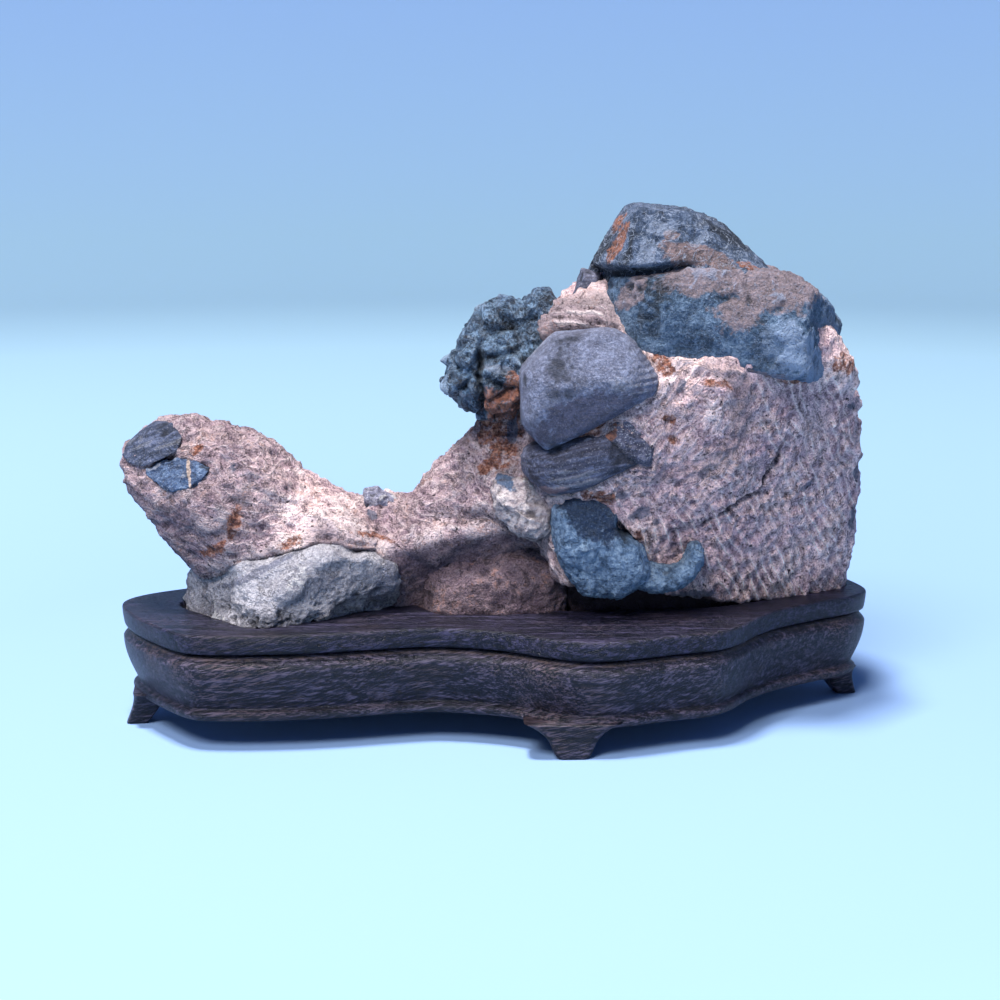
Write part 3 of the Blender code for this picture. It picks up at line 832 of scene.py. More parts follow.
def pale_relief(points, normals):
    """A soft chalky face with shallow worn hollows and small crests."""
    return (0.3 * cloud(points, 3.4, 3, 61) + 0.25 * crags(points, 1.8, 3, 63)
            + 0.8 * facets(points, 4.6, 64))


chalk = stone_finish("neck_chalk", (124, 110, 112), (174, 160, 158), (208, 196, 190), blot=3.0,
                     grit=0.7, height=0.2, patch=(88, 104, 128), specks=0.2)
clast(
    "pale_clast",
    Lump([(-1.8, 40.6), (-0.4, 43.7), (5, 42.4), (9.0, 39.0), (9.8, 34.5), (7.0, 31.6),
          (2.8, 33.0), (-0.8, 36.8)], y=-10.8, front=6, back=8, crisp=40,
         cuts=[(0.6, -3.6, 2.6), (-2.2, -4.4, -1.2)]),
    (44, 38, 50), chalk, pale_relief, patch=[(0.6, 43.0, 3.0, 1.3, -32)],
)

# ---------------------------------------------------------------------------------------
# Two clasts bedded in the end of the head, a thin tan vein across the lower one, and a nub
# on the saddle.

head_slate = stone_finish("head_slate", (36, 42, 58), (60, 67, 86), (92, 99, 122), blot=2.2,
                          grit=0.5, height=0.16, streak=(3.0, 0.6, (0, 20, 0)),
                          patch=(186, 162, 146), specks=0.2, worn=0.1)
clast(
    "head_dark_clast",
    Lump([(-63.4, 46.6), (-61.8, 49.8), (-58.6, 51.7), (-54.6, 51.8), (-52.8, 49.8), (-58.6, 46.8),
          (-62.4, 45.6)], y=-8.5, front=8, back=7, boxy=3, crisp=24),
    (40, 36, 30), head_slate, layered(24, 1.4, 0.16), host=head, proud=1.0,
)
clast(
    "head_blue_clast",
    Lump([(-59.0, 44.0), (-56.6, 46.0), (-51.6, 46.8), (-47.2, 45.4), (-49.4, 42.2), (-54.6, 41.2)],
         y=-12.5, front=8, back=6, boxy=2.6, crisp=24),
    (42, 32, 28),
    stone_finish("lens_slate", (40, 52, 74), (68, 86, 114), (106, 126, 152), blot=1.8, grit=0.5,
                 height=0.16, patch=(196, 172, 156), specks=0.2, worn=0.2),
    granular, host=head, proud=0.9, patch=[(-51.3, 45.0, 0.35, 4.0, 12)],
)
clast("saddle_nub", Lump([(-23.9, 35), (-23.3, 39.2), (-21.0, 39.6), (-18.4, 37.8), (-17.0, 36)],
                         y=-2.5, front=3, back=4, crisp=30),
      (28, 26, 24),
      stone_finish("nub_slate", (84, 82, 96), (126, 124, 140), (168, 162, 172), blot=1.6, grit=0.5),
      lambda points, normals: 0.35 * cloud(points, 1.8, 3, 65) + 0.5 * facets(points, 2.0, 66))

# ---------------------------------------------------------------------------------------
# The grey foot under the head: a pale boulder, pitted and black along its lower edge, with a
# blue-grey vein that climbs across it.


def boulder_relief(points, normals):
    """Slow swells; below a wavy line, pits at two sizes; and the groove of the vein."""
    low = eased(26.0 - points[:, 2] + 3.0 * cloud(points, 6.0, 2, 71), 0.0, 7.0)
    first, _, _ = crumbs(points, 1.5, 73)
    small, _, _ = crumbs(points, 0.85, 76)
    pits = 0.5 * (1.0 - eased(first, 0.15, 0.45)) + 0.3 * (1.0 - eased(small, 0.15, 0.4))
    line = points[:, 2] - (25.2 + 0.52 * (points[:, 0] + 49.0)) - 0.8 * cloud(points, 5.0, 2, 78)
    vein = bell(line, 0.8)
    return (0.4 * cloud(points, 7.0, 3, 79) + (0.18 + 0.25 * low) * crags(points, 2.4, 3, 81)
            + 1.1 * facets(points, 7.5, 84) - pits * (0.15 + 1.1 * low) - 0.35 * vein)


clast(
    "foot_boulder",
    Lump([(-54.6, 12), (-54.0, 25), (-51.6, 28.8), (-43, 30.6), (-34, 33.4), (-29, 33.4),
          (-21.5, 31), (-17.2, 28.3), (-16.4, 23), (-19, 12)], y=-9, front=14.5, back=16, crisp=30,
         cuts=[(5.0, -10.4, -1.0), (-1.5, -9.6, 5.6), (-10, -9, 1.5), (4.6, -5.4, -7.6)]),
    (104, 76, 62),
    stone_finish("grey_boulder", (106, 101, 106), (154, 149, 152), (188, 182, 184), blot=5.0, grit=0.5,
                 height=0.16, patch=(124, 122, 132), specks=0.4),
    boulder_relief,
    patch=[(-41.0, 28.0, 9.0, 0.7, 27), (-19.0, 25.5, 2.0, 4.5, -20)],
)

# ---------------------------------------------------------------------------------------
# Clasts bedded in the back.

for number, (outline, y, front, back, cuts, finish, relief) in enumerate((
    ([(14, 52), (18, 63), (35, 67), (45, 59), (39, 49), (21, 46)], 20, 9, 10.5,
     [(2, 8, 3), (-6, 7, -1)], slate, layered(-12, 1.6, 0.25)),
    ([(38, 31), (40, 41), (52, 43.5), (57, 36), (50, 27)], 17, 8, 10.5, (), sandstone, granular),
    ([(-59, 35), (-57, 43), (-46, 44.5), (-42, 37), (-50, 31)], 3, 6, 8.5, (), head_slate, granular),
    ([(-5, 30), (-4, 39), (6, 42), (11, 35), (5, 27)], 9, 6, 8.5, (), chalk, pale_relief),
)):
    clast(f"back_clast_{number + 1}",
          Lump(outline, y=y, front=front, back=back, boxy=2.4, crisp=22, cuts=cuts),
          (34, 22, 26), finish, relief)

# ---------------------------------------------------------------------------------------
# The surface of the matrix, bent and folded round the clasts and stained with rust in the
# folds. The arm is one skin over its four lumps, and the block is the other.

SPINE = np.array([  # through the arm, from the head to the block
    (-52, -5, 39.5), (-44, -5, 38), (-34, -4, 32), (-24, -3, 28), (-14, -1.5, 28), (-5, -0.5, 33),
    (1, -0.5, 41), (5, -0.5, 49),
], float)
ARM_CAP, ARM_GIRTH = 12.0, 13.0  # the lattice's reach past the spine's ends, and round it
ARM_BLEND = 0.9  # how softly the lumps of the arm run together


def fused(parts, points, blend):
    """Distance from lumps run together: their least distance, eased where two are alike."""
    apart = np.stack([part.outside(points) for part in parts])
    least = apart.min(axis=0)
    return least - blend * np.log(np.exp((least - apart) / blend).sum(axis=0))


def arm_surface(cells):
    """The arm over a long box lattice: each lattice point has a foot on the bent spine, turned
    to its slope there, and a ray that leaves the foot until the fused lumps end."""
    lattice, quads, patches = boxed(cells)
    runs = np.linalg.norm(np.diff(SPINE, axis=0), axis=1)
    along = np.concatenate([[0.0], np.cumsum(runs)])
    half = along[-1] / 2.0
    reach = lattice * [half + ARM_CAP, ARM_GIRTH, ARM_GIRTH]
    place = reach[:, 0] * half / (half + ARM_CAP)
    foot = np.stack([np.interp(place + half, along, SPINE[:, axis]) for axis in range(3)], axis=1)
    ahead = np.stack(
        [np.interp(place + half + 4.0, along, SPINE[:, axis])
         - np.interp(place + half - 4.0, along, SPINE[:, axis]) for axis in range(3)], axis=1)
    slope = np.arctan2(ahead[:, 2], ahead[:, 0])
    sent = reach[:, 0] - place
    ray = np.stack([
        sent * np.cos(slope) - reach[:, 2] * np.sin(slope), reach[:, 1],
        sent * np.sin(slope) + reach[:, 2] * np.cos(slope)], axis=1)
    ray /= np.linalg.norm(ray, axis=1)[:, None]
    out = np.full(len(ray), 2.0)
    for _ in range(26):
        out -= 0.75 * fused((head, shoulder, saddle, neck), foot + ray * out[:, None], ARM_BLEND)
    return foot + ray * out[:, None], quads, patches


def lips(points, names, lap, reach, swell=0.0, pitch=1.5):
    """The matrix round the named clasts: it laps up to them, folds in thin layers that follow
    their outlines and die away, and drops into a groove where it meets them."""
    lift, sunk = np.zeros(len(points)), np.zeros(len(points))
    for name in names:
        apart = lumps[name].outside(points) + 0.3 * cloud(points, 3.0, 3, 91)
        near = np.exp(-np.clip(apart, 0.0, None) / reach)
        lift = np.maximum(lift, lap * near)
        if swell:
            lift += swell * near * np.sin(2.0 * np.pi * apart / pitch) * (apart > -0.4)
        lift -= 0.5 * lap * bell(apart, 0.4)
        sunk = np.maximum(sunk, eased(-apart, 0.3, 1.2))
    return lift * (1.0 - sunk) - 1.6 * sunk


def crust(points, size, salt):
    """A rough crust: crumbs over creases, and sharp crests, at two sizes each."""
    return 0.55 * crags(points, size, 3, salt) + 0.45 * plates(points, size * 0.62, salt + 31, 0.5)


def matrix_piece(name, surface, relief, rust, blue, rough, flow, phase, lined, dark, light):
    """A piece of matrix: its relief and its marks are mapped over its points."""
    points, quads, patches = surface
    normals = facing(points, quads)
    lift = relief(points, normals)
    fine = lift - cloud(points, 9.0, 2, 95)
    fine = (fine - fine.mean()) / fine.std()
    # Of these marks, low and dark carry painted shade, high a painted highlight, and light painted light
    # and shade.
    marks = {"low": eased(-fine, 0.7, 2.6), "high": eased(fine, 0.3, 1.8), "dark": dark(points),
             "rust": rust(points), "blue": blue(points), "rough": rough(points, normals),
             "flow": flow(points), "phase": phase(points), "lined": lined(points, normals),
             "light": light(points)}
    stone_piece(name, points + normals * lift[:, None], quads, patches, matrix, marks)


def matrix_finish():
    """Pinkish grit with mauve hollows, pale crests and fine raised lines along the flow; rust and blue
    stains; dark pits and hair cracks. Where the rough mark is low, it is a smoother mauve. The pale
    crests and the pale tops of the raised lines are a painted highlight; the darkening in hollows, pits,
    creases, the undercut, the crack and between the raised lines is painted shade; and the light mark
    paints light and shade over the whole."""
    finish = Finish("matrix", Specular_IOR_Level=0.3)
    rough, high = finish.reading("rough"), finish.reading("high")
    spot = finish.node("ShaderNodeAttribute", {"attribute_name": "flow"}, out=1)
    lines = finish.node("ShaderNodeTexNoise", {}, Vector=spot, Scale=1.0, Detail=4.0, Roughness=0.6)
    wide, grit = finish.grain(6.0, 4.0, 0.6), finish.grain(1.1, 6.0, 0.68)
    fine = finish.grain(0.34, 4.0, 0.65)
    runs = finish.node("ShaderNodeTexNoise", {}, Vector=spot, Scale=0.3, Detail=2.0)
    phase = finish.reading("phase") + grit * 0.7
    wave = finish.node("ShaderNodeMath", {"operation": "SINE"}, phase)
    lined = finish.reading("lined")
    # Painted highlight along the tops of the raised lines.
    crest_line = (1.0 - abs(wave)) ** 3.0 * runs.over(0.40, 0.50) * lined
    crease = finish.hairlines(1.7, 6.0, 0.62, 0.5, 24.0)
    crease = crease * finish.grain(1.8, 3.0, 0.6).over(0.47, 0.56)
    base = finish.ramp(wide * 0.6 + grit * 0.4, (0.40, linear(162, 140, 148)),
                       (0.5, linear(184, 163, 165)), (0.60, linear(200, 182, 180)))
    tone = 0.22 * grit + 0.5 * fine + 0.28 * lines
    shade = finish.ramp(tone, (0.41, (0.40, 0.38, 0.42)), (0.5, (1.0, 1.0, 1.0)),
                        (0.58, (1.5, 1.5, 1.5)))
    colour = finish.blend(1.0, base, shade, "MULTIPLY")
    mauve = (1.0 - rough) * 0.45
    colour = finish.blend(mauve.clamped(), colour, linear(122, 98, 106))
    # Painted highlight on the crests and along the raised lines.
    crest = (high + 1.8 * (fine - 0.5)).over(0.3, 1.1) * (0.2 + 0.35 * rough) + crest_line * 0.95
    colour = finish.blend(crest.clamped(), colour, linear(238, 226, 222))
    # Painted light and shade, from the light mark.
    light = finish.ramp(finish.reading("light"), (0.0, (0.46, 0.42, 0.44)), (0.5, (0.90, 0.83, 0.82)),
                        (1.0, (1.74, 1.55, 1.43)))
    colour = finish.blend(1.0, colour, light, "MULTIPLY")
    speckled = (wide * 0.4 + finish.grain(1.1, 5.0, 0.72) * 0.6).over(0.54, 0.62) * 0.5
    colour = finish.blend(speckled, colour, linear(166, 116, 98))
    ochre = finish.ramp(finish.grain(0.8, 5.0, 0.7), (0.38, linear(84, 50, 42)),
                        (0.5, linear(150, 92, 70)), (0.62, linear(196, 144, 120)))
    stain = finish.broken("rust", 3.6, 1.3, 6.0, 0.75)
    colour = finish.blend(stain.over(0.35, 1.1), colour, ochre)
    tint = finish.broken("blue", 2.2, 1.1, 5.0, 0.7)
    colour = finish.blend(tint.over(0.3, 0.9) * 0.8, colour, linear(92, 98, 114))
    pits = (finish.grain(0.75, 3.0, 0.55) * 0.7 + lines * 0.3).over(0.60, 0.66) * 0.85
    # Painted shade between the raised lines, in the hollows, the undercut and the crack, in pits and in
    # creases.
    valley = abs(wave).over(0.6, 1.0) * lined * runs.over(0.40, 0.50) * 0.4
    hollow = finish.reading("low") * 0.15 + finish.reading("dark") * 0.85 + pits
    hollow = hollow + crease * 0.6 + valley
    colour = finish.blend(hollow.clamped(), colour, linear(56, 42, 48))
    height = grit * (0.3 + 0.4 * rough) + fine * 0.5 + lines * 0.3 + crest_line * 0.32
    height = height - pits * 0.14 - crease * 0.16
    return finish.done(colour, 0.95 - 0.1 * tone, finish.bumps(height, 2.2))


matrix = matrix_finish()

# The foot of the matrix under the saddle: a low toe of the same grit that rests in the seat.
# It has no light mark, so the matrix finish gives it the darkest painted shade, like the underside of
# the saddle.
clast("toe", Lump([(-17.5, 19), (-14, 26.5), (-6, 29.5), (4, 30.5), (12, 28), (11, 12), (-17, 12)],
                  y=-5.0, front=8.2, back=8, crisp=24, cuts=[(-1.5, -5.6, 4.8), (-8.0, -4.6, 0.5)]),
      (60, 44, 36), matrix, lambda points, normals: 0.6 * crust(points, 2.4, 86))


def fold_share(points):
    """1 in the folds that wrap over the top of the oval clast, and 0 away from them."""
    near = 1.0 - eased(lumps["oval_clast"].outside(points), 2.5, 7.0)
    return near * eased(22.0 - points[:, 0], 0.0, 5.0) * (points[:, 1] < 0.0)


def block_flow(points):
    """Along and across fine lines, in line spacings: steep and falling to the right, but
    rising to the right in a patch at the upper middle, and bent round the oval clast."""
    x = points[:, 0] + 0.1 * points[:, 1] + 0.8 * cloud(points, 8.0, 2, 97)
    z = points[:, 2]
    rising = 1.0 - eased(np.hypot(points[:, 0] - 29.0, z - 55.0), 8.0, 13.0)
    falling_across, falling_along = 0.87 * x + 0.49 * z, 0.87 * z - 0.49 * x
    rising_across, rising_along = 0.64 * z - 0.77 * x, 0.64 * x + 0.77 * z
    across = falling_across + rising * (rising_across - falling_across)
    along = falling_along + rising * (rising_along - falling_along)
    folded = fold_share(points)
    around = lumps["oval_clast"].outside(points) + 0.5 * cloud(points, 4.0, 2, 98)
    across, along = across + folded * (around - across), along + folded * (points[:, 0] - along)
    return np.stack([across / 0.62, along / 2.4, points[:, 1] / 2.0], axis=1)


def block_phase(points):
    """The phase of the raised lines: it grows across the flow, and wanders a little."""
    return 1.2 * block_flow(points)[:, 0] + 2.2 * cloud(points, 6.0, 2, 101)


def polyline(points, corners):
    """Distance, seen from the front, to the nearest of the straight runs between corners."""
    seen = points[:, [0, 2]]
    nearest = np.full(len(points), 99.0)
    for start, end in zip(np.array(corners, float), np.array(corners[1:], float)):
        share = np.clip((seen - start) @ (end - start) / ((end - start) @ (end - start)), 0.0, 1.0)
        apart = np.linalg.norm(seen - start - share[:, None] * (end - start), axis=1)
        nearest = np.minimum(nearest, apart)
    return nearest


CRACK = [(47.6, 50.4), (45.4, 43.9), (43.5, 40.3), (38.5, 37.8), (33.7, 35.0)]


def crack_mark(points, wide):
    """1 along the crack that crosses the front, which is wide millimetres to each side."""
    away = polyline(points, CRACK) + 0.5 * cloud(points, 2.0, 3, 107)
    return bell(away, wide) * (points[:, 1] < 0.0)


def patchy(points):
    """How strong the raised lines are, from 0.4 to 1, in patches some 8 mm across."""
    return 0.4 + 0.6 * eased(cloud(points, 8.0, 3, 117), -0.35, 0.35)


def undercut(points):
    """1 in the hollow that runs low along the front, deepest under the kidney, and 0 away
    from it."""
    brow = np.interp(points[:, 0], (6.0, 20.0, 31.0, 38.0, 60.0), (24.8, 25.0, 22.8, 20.6, 19.3))
    return eased(brow - points[:, 2] + 0.9 * cloud(points, 3.0, 3, 99), 0.0, 1.8) * (points[:, 1] < 0.0)


def block_relief(points, normals):
    """Slow swells, a crust that is coarser at the sides and back, folds round the clasts,
    flow lines, scattered pits, one crack across the front and a hollow low at its left."""
    front = eased(-normals[:, 1], 0.2, 0.8)
    lines = (1.0 - np.abs(np.sin(block_phase(points)))) ** 2
    first, _, _ = crumbs(points, 3.4, 103)
    pits = 1.0 - eased(first + 0.15 * cloud(points, 1.0, 2, 106), 0.10, 0.26)
    fringe = eased(30.0 - points[:, 2], 0.0, 9.0)
    lift = 0.5 * cloud(points, 11.0, 3, 108) + 0.5 * facets(points, 9.0, 109)
    lift += (0.9 - 0.66 * front) * crust(points, 3.4, 110) + 0.4 * facets(points, 2.6, 111)
    lift += 0.22 * crags(points * [1.0, 1.0, 0.6], 1.6, 2, 112) * front - 0.5 * pits
    lift += (front * patchy(points) * (0.12 + 0.28 * fringe) * (lines - 0.3)
             - 0.7 * crack_mark(points, 0.3))
    lift += lips(points, ("oval_clast", "lower_oval_clast", "violet_clast"), 1.5, 2.2, 0.32, 1.25)
    lift += lips(points, ("kidney_clast", "kidney_tail", "pale_clast", "dark_lump"), 1.3, 1.8, 0.10, 1.9)
    lift += lips(points, ("long_slab", "back_clast_1", "back_clast_2"), 0.8, 1.6)
    folds = bell(points[:, 0] - 10.0, 6.5) * bell(points[:, 2] - 70.0, 4.5)
    around = lumps["oval_clast"].outside(points) + 0.7 * cloud(points, 4.0, 3, 115)
    folds *= 1.5 + 0.24 * np.sin(2.0 * np.pi * around / 1.15)
    lobe = bell(points[:, 0] - 59.0, 4.0) * bell(points[:, 2] - 60.0, 4.0)
    return lift + (folds + 1.4 * lobe) * (points[:, 1] < -8.0) - 2.8 * undercut(points)


def block_rust(points):
    """Rust in the pits, round the oval clasts and under the slab."""
    return blotch(
        points, (27.6, 54.2, 1.3, 1.0, 0), (28.0, 50.9, 1.1, 0.9, 20), (26.2, 63.0, 2.6, 1.6, -30),
        (55.8, 62.4, 2.0, 2.2, 60), (12.1, 51.6, 7.0, 1.5, 20), (16.4, 41.3, 3.2, 1.3, -12),
        (22.7, 34.4, 1.0, 1.6, 20), (35.0, 60.0, 3.0, 0.9, -10), (1.5, 47.0, 1.2, 5.0, 10),
        (48.0, 60.0, 3.0, 0.8, -15), (7.6, 36.0, 0.7, 4.5, 8),
    )


def block_blue(points):
    """Blue chips and stains on the front and along the right edge."""
    return blotch(
        points, (29.1, 59.7, 0.7, 1.5, -20), (19.8, 41.6, 1.1, 0.8, -30), (23.2, 38.0, 2.2, 1.2, 15),
        (25.9, 36.3, 0.8, 0.7, 0), (4.1, 44.4, 1.2, 0.6, -40), (5.1, 42.7, 0.6, 0.4, 20),
        (59.3, 54.3, 0.9, 0.8, 0), (61.6, 41.7, 0.6, 1.6, 0), (61.6, 33.5, 0.9, 3.0, 0),
        (52.0, 40.5, 1.6, 0.6, 30), (33.0, 22.5, 5.0, 1.2, 0), ragged=0.3,
    )


def block_painted_shade(points):
    """1 in the undercut and in the crack, where shade is painted."""
    return np.maximum(undercut(points), 0.8 * crack_mark(points, 0.25))


def block_lined(points, normals):
    """1 where the fine lines are raised: over the lower front and the folds."""
    low = (0.6 + 0.4 * eased(48.0 - points[:, 2], 0.0, 16.0)) * eased(66.0 - points[:, 2], 0.0, 6.0)
    return eased(-normals[:, 1], 0.2, 0.7) * np.maximum(low * patchy(points), fold_share(points))


def block_painted_light(points):
    """Painted light on the block's grit: paler on the front and right, partly the rock's own paler grit
    and partly painted light on its upright face, and painted shade at the neck and in the folds."""
    return 0.45 + 0.5 * eased(points[:, 0], 4.0, 14.0) - 0.55 * fold_share(points)


matrix_piece(
    "block_matrix", block.ball((140, 92, 140)), block_relief, block_rust, block_blue,
    lambda points, normals: 0.5 + 0.35 * cloud(points, 8.0, 2, 113), block_flow, block_phase,
    block_lined, block_painted_shade, block_painted_light,
)
lumps["block"] = block


def arm_ridge(points):
    """Height above the line of the saddle's ridge, which falls from the head and rises again
    to the neck."""
    line = np.interp(points[:, 0], (-34.0, -28.5, -20.5, -12.0, -5.0, 1.0),
                     (37.5, 35.5, 30.6, 32.2, 33.8, 35.2))
    return points[:, 2] - line + 0.9 * cloud(points, 4.0, 2, 121)


def arm_rough(points, normals):
    """1 on the crusty upper faces, down to a smoother mauve under the saddle's ridge."""
    under = eased(-arm_ridge(points), -0.5, 2.0) * eased(points[:, 0], -34.0, -29.0)
    return 1.0 - 0.85 * under * (points[:, 1] < 2.0)


def arm_relief(points, normals):
    """Slow swells, a crumbled crust where the arm is rough, a raised ridge along the saddle,
    contour folds on the head, and laps and grooves round the clasts."""
    rough = arm_rough(points, normals)
    ridge = bell(arm_ridge(points), 1.1) * eased(points[:, 0], -33.0, -27.0)
    headed = eased(-36.0 - points[:, 0], 0.0, 6.0)
    bands = np.sin(2.0 * np.pi * (points[:, 0] * 0.75 + points[:, 2] * 0.65
                                  + 1.6 * cloud(points, 6.0, 2, 123)) / 3.4)
    leaning = points @ np.array([[0.5, 0.0, 0.45], [0.0, 1.0, 0.0], [-0.28, 0.0, 0.9]])
    lift = 0.5 + 0.5 * cloud(points, 8.0, 3, 124) + 0.4 * ridge * (points[:, 1] < -4.0)
    lift += 0.18 * headed * bands + 0.9 * facets(leaning, 6.5, 133, 40.0)
    lift += rough * (0.3 * crust(leaning, 1.6, 126) + 0.4 * facets(points, 2.0, 128, 22.0))
    lift += 0.45 * crust(points, 1.5, 139) * eased(normals[:, 2], 0.0, 0.6)
    lift += (1.0 - rough) * 0.16 * crags(points, 3.0, 3, 131)
    lift += lips(points, ("head_dark_clast", "head_blue_clast"), 0.5, 1.2, 0.08, 1.6)
    lift += lips(points, ("saddle_nub", "pale_clast", "dark_lump", "block"), 1.0, 1.6)
    return lift + lips(points, ("foot_boulder",), 1.2, 1.8)


def arm_painted_light(points):
    """Painted light on the arm's grit: painted shade low on the head's overhung face and under the
    saddle's ridge, a painted highlight along the crest between them, and a random drift."""
    head_low = bell(points[:, 0] + 53.0, 10.0) * bell(points[:, 2] - 37.0, 9.0)
    under = eased(-arm_ridge(points), -0.5, 3.0) * eased(points[:, 0], -34.0, -29.0)
    crest = bell(points[:, 0] + 33.0, 9.0) * bell(points[:, 2] - 38.0, 6.0)
    return 0.5 - 0.42 * head_low - 0.45 * under + 0.42 * crest + 0.2 * cloud(points, 5.0, 3, 137)


def arm_phase(points):
    """The phase of the raised lines, which run along the arm and wander widely."""
    return 1.5 * (points[:, 2] + 0.35 * points[:, 0]) + 7.0 * cloud(points, 7.0, 3, 135)


def arm_rust(points):
    """Rust down the neck, and under the head."""
    return blotch(
        points, (0.0, 51.2, 4.6, 6.4, 0), (0.4, 46.8, 5.2, 3.4, 64), (-2.4, 43.4, 1.8, 1.2, 0),
        (0.5, 45.3, 1.6, 1.0, 0), (-44.0, 36.4, 1.5, 3.4, -14), (-46.4, 32.6, 2.2, 1.2, 30),
        (-34.7, 32.6, 2.2, 0.9, 20), (-22.0, 32.6, 5.0, 0.5, -16), (-50.0, 47.6, 1.6, 0.8, 30),
        (-48.4, 31.4, 2.2, 0.8, 0), (-54.4, 48.0, 1.2, 0.8, 40),
    )


def arm_blue(points):
    """Blue dots on the head and saddle, and the violet lens beside the neck."""
    return blotch(
        points, (-44.1, 45.4, 0.6, 0.6, 0), (-21.8, 35.0, 1.2, 0.5, -20), (2.3, 50.2, 1.0, 3.2, 0),
        (-9.0, 49.0, 0.8, 0.4, 0), (-20.0, 26.0, 1.4, 3.2, 30), ragged=0.3,
    )


matrix_piece(
    "arm_matrix", arm_surface((200, 74, 86)), arm_relief, arm_rust, arm_blue, arm_rough,
    lambda points: points * [0.5, 0.4, 0.5], arm_phase,
    lambda points, normals: 0.45 * arm_rough(points, normals), lambda points: np.zeros(len(points)),
    arm_painted_light,
)

# ---------------------------------------------------------------------------------------
# The stand: one piece of dark rosewood, a plate over a bulging apron with a bead, whose
# moulding is carved round a lobed outline. The stone drops into a seat cut to its own foot.

OUTLINE = [
    (-64.8, -6.8), (-62.2, -13.4), (-57.9, -20.0), (-52.2, -26.6), (-46.5, -28.3),
    (-36.0, -27.9), (-27.6, -26.6), (-19.5, -24.6), (-12.0, -23.1), (-5.5, -23.9),
    (1.0, -26.0), (7.5, -29.9), (14.0, -32.28), (20.5, -31.3), (28.5, -28.0), (35.6, -25.4),
    (39.8, -21.4), (43.6, -15.4), (48.7, -9.8), (56.0, -4.4), (62.0, -0.2), (64.8, 4.8),
    (63.2, 11.8), (59.5, 19.5), (54.0, 26.2), (47.0, 29.8), (39.0, 29.6), (31.0, 27.8),
    (24.0, 28.4), (16.0, 31.2), (8.0, 32.3), (0.0, 30.0), (-8.0, 26.2), (-15.0, 24.2),
    (-22.0, 24.4), (-30.0, 23.4), (-37.0, 19.4), (-42.0, 14.2), (-48.0, 9.3), (-54.6, 6.0),
    (-61.2, 1.6), (-64.5, -2.6),
]
STEPS = 12
UNDERSIDE, GROOVE, PLATE_TOP = 5.0, 16.5, 20.0
SEAT_DEPTH, SEAT_GAP = 1.7, 0.35
SEAT_PLANE = 19.2  # the height at which the stone's foot is traced for the seat
TOP_CUTS, UNDER_CUTS = 96, 24


def outline_loop():
    """A closed curve through the outline's corners (Catmull-Rom), and the way in from it."""
    corner = np.array(OUTLINE)
    a, b, c, d = (np.roll(corner, shift, axis=0)[:, None, :] for shift in (1, 0, -1, -2))
    t = (np.arange(STEPS) / STEPS)[None, :, None]
    curve = 0.5 * (2.0 * b + (c - a) * t + (2.0 * a - 5.0 * b + 4.0 * c - d) * t**2
                   + (3.0 * b - a - 3.0 * c + d) * t**3)
    curve = curve.reshape(-1, 2)
    tangent = np.roll(curve, -1, axis=0) - np.roll(curve, 1, axis=0)
    tangent /= np.linalg.norm(tangent, axis=1)[:, None]
    return curve, np.stack([-tangent[:, 1], tangent[:, 0]], axis=1)


def moulding():
    """How far in each line of the moulding is, and its height, from the underside up: a half
    round bead, a valley, the apron as a quarter of a sine, a bevel, the sawn groove, and the
    plate's edge with its rounded rim. The third column is how worn or bare the wood is."""
    turn = np.linspace(-1.35, 1.25, 9)
    bead = np.stack([2.45 - 0.9 * np.cos(turn), 5.95 + 0.9 * np.sin(turn), 0.5 * np.cos(turn)], 1)
    rise = np.linspace(0.0, 1.0, 14)
    apron = np.stack([0.15 + 2.2 * (1.0 - np.sin(rise * np.pi / 2.0)), 7.25 + 7.35 * rise,
                      0.12 * rise], 1)
    bevel = np.array([(0.35, 14.95, 0.2), (0.65, 15.3, 0.5), (1.1, 15.8, 0.9), (1.35, 16.15, 0.9)])
    groove = np.array([(1.75, 16.25, 0.0), (2.2, 16.36, 0.0), (2.2, 16.56, 0.0), (0.9, 16.66, 0.0)])
    edge = np.array([(0.42, 16.78, 0.3), (0.3, 17.2, 0.1), (0.18, 18.0, 0.0), (0.08, 18.8, 0.05)])
    turn = np.linspace(0.0, np.pi / 2.0, 5)
    rim = np.stack([0.5 - 0.45 * np.cos(turn), 19.55 + 0.45 * np.sin(turn), 0.12 + 0.25 * turn], 1)
    return np.concatenate([bead, [[2.5, 7.0, 0.0]], apron, bevel, groove, edge, rim])


def ruled(ring, count, height, up):
    """A flat cover for a ring of points: straight lines from each point of the ring's front
    half to its match on the back half, cut into the same count."""
    half = len(ring) // 2
    front, back = ring[:half + 1], np.roll(ring[::-1], 1, axis=0)[:half + 1]
    share = np.linspace(0.0, 1.0, count + 1)[None, :, None]
    flat = (front[:, None, :] * (1.0 - share) + back[:, None, :] * share).reshape(-1, 2)
    quads = strip_quads(half + 1, count + 1, False)
    return np.column_stack([flat, np.full(len(flat), height)]), quads[:, ::-1] if up else quads


def seat_depth(points):
    """How deep the seat is at each point: full under the stone's foot and a little round it."""
    over = points.copy()
    over[:, 2] = SEAT_PLANE
    feet = [lump.outside(over) for lump in
            (block, saddle, neck, shoulder, lumps["foot_boulder"], lumps["toe"])]
    return SEAT_DEPTH * (1.0 - eased(np.min(feet, axis=0), SEAT_GAP - 0.3, SEAT_GAP + 0.3))


def welded(points, quads):
    """The points that coincide made one."""
    keys = np.round(points / 1e-3).astype(np.int64)
    _, first, index = np.unique(keys, axis=0, return_index=True, return_inverse=True)
    return points[first], index.reshape(-1)[quads], first


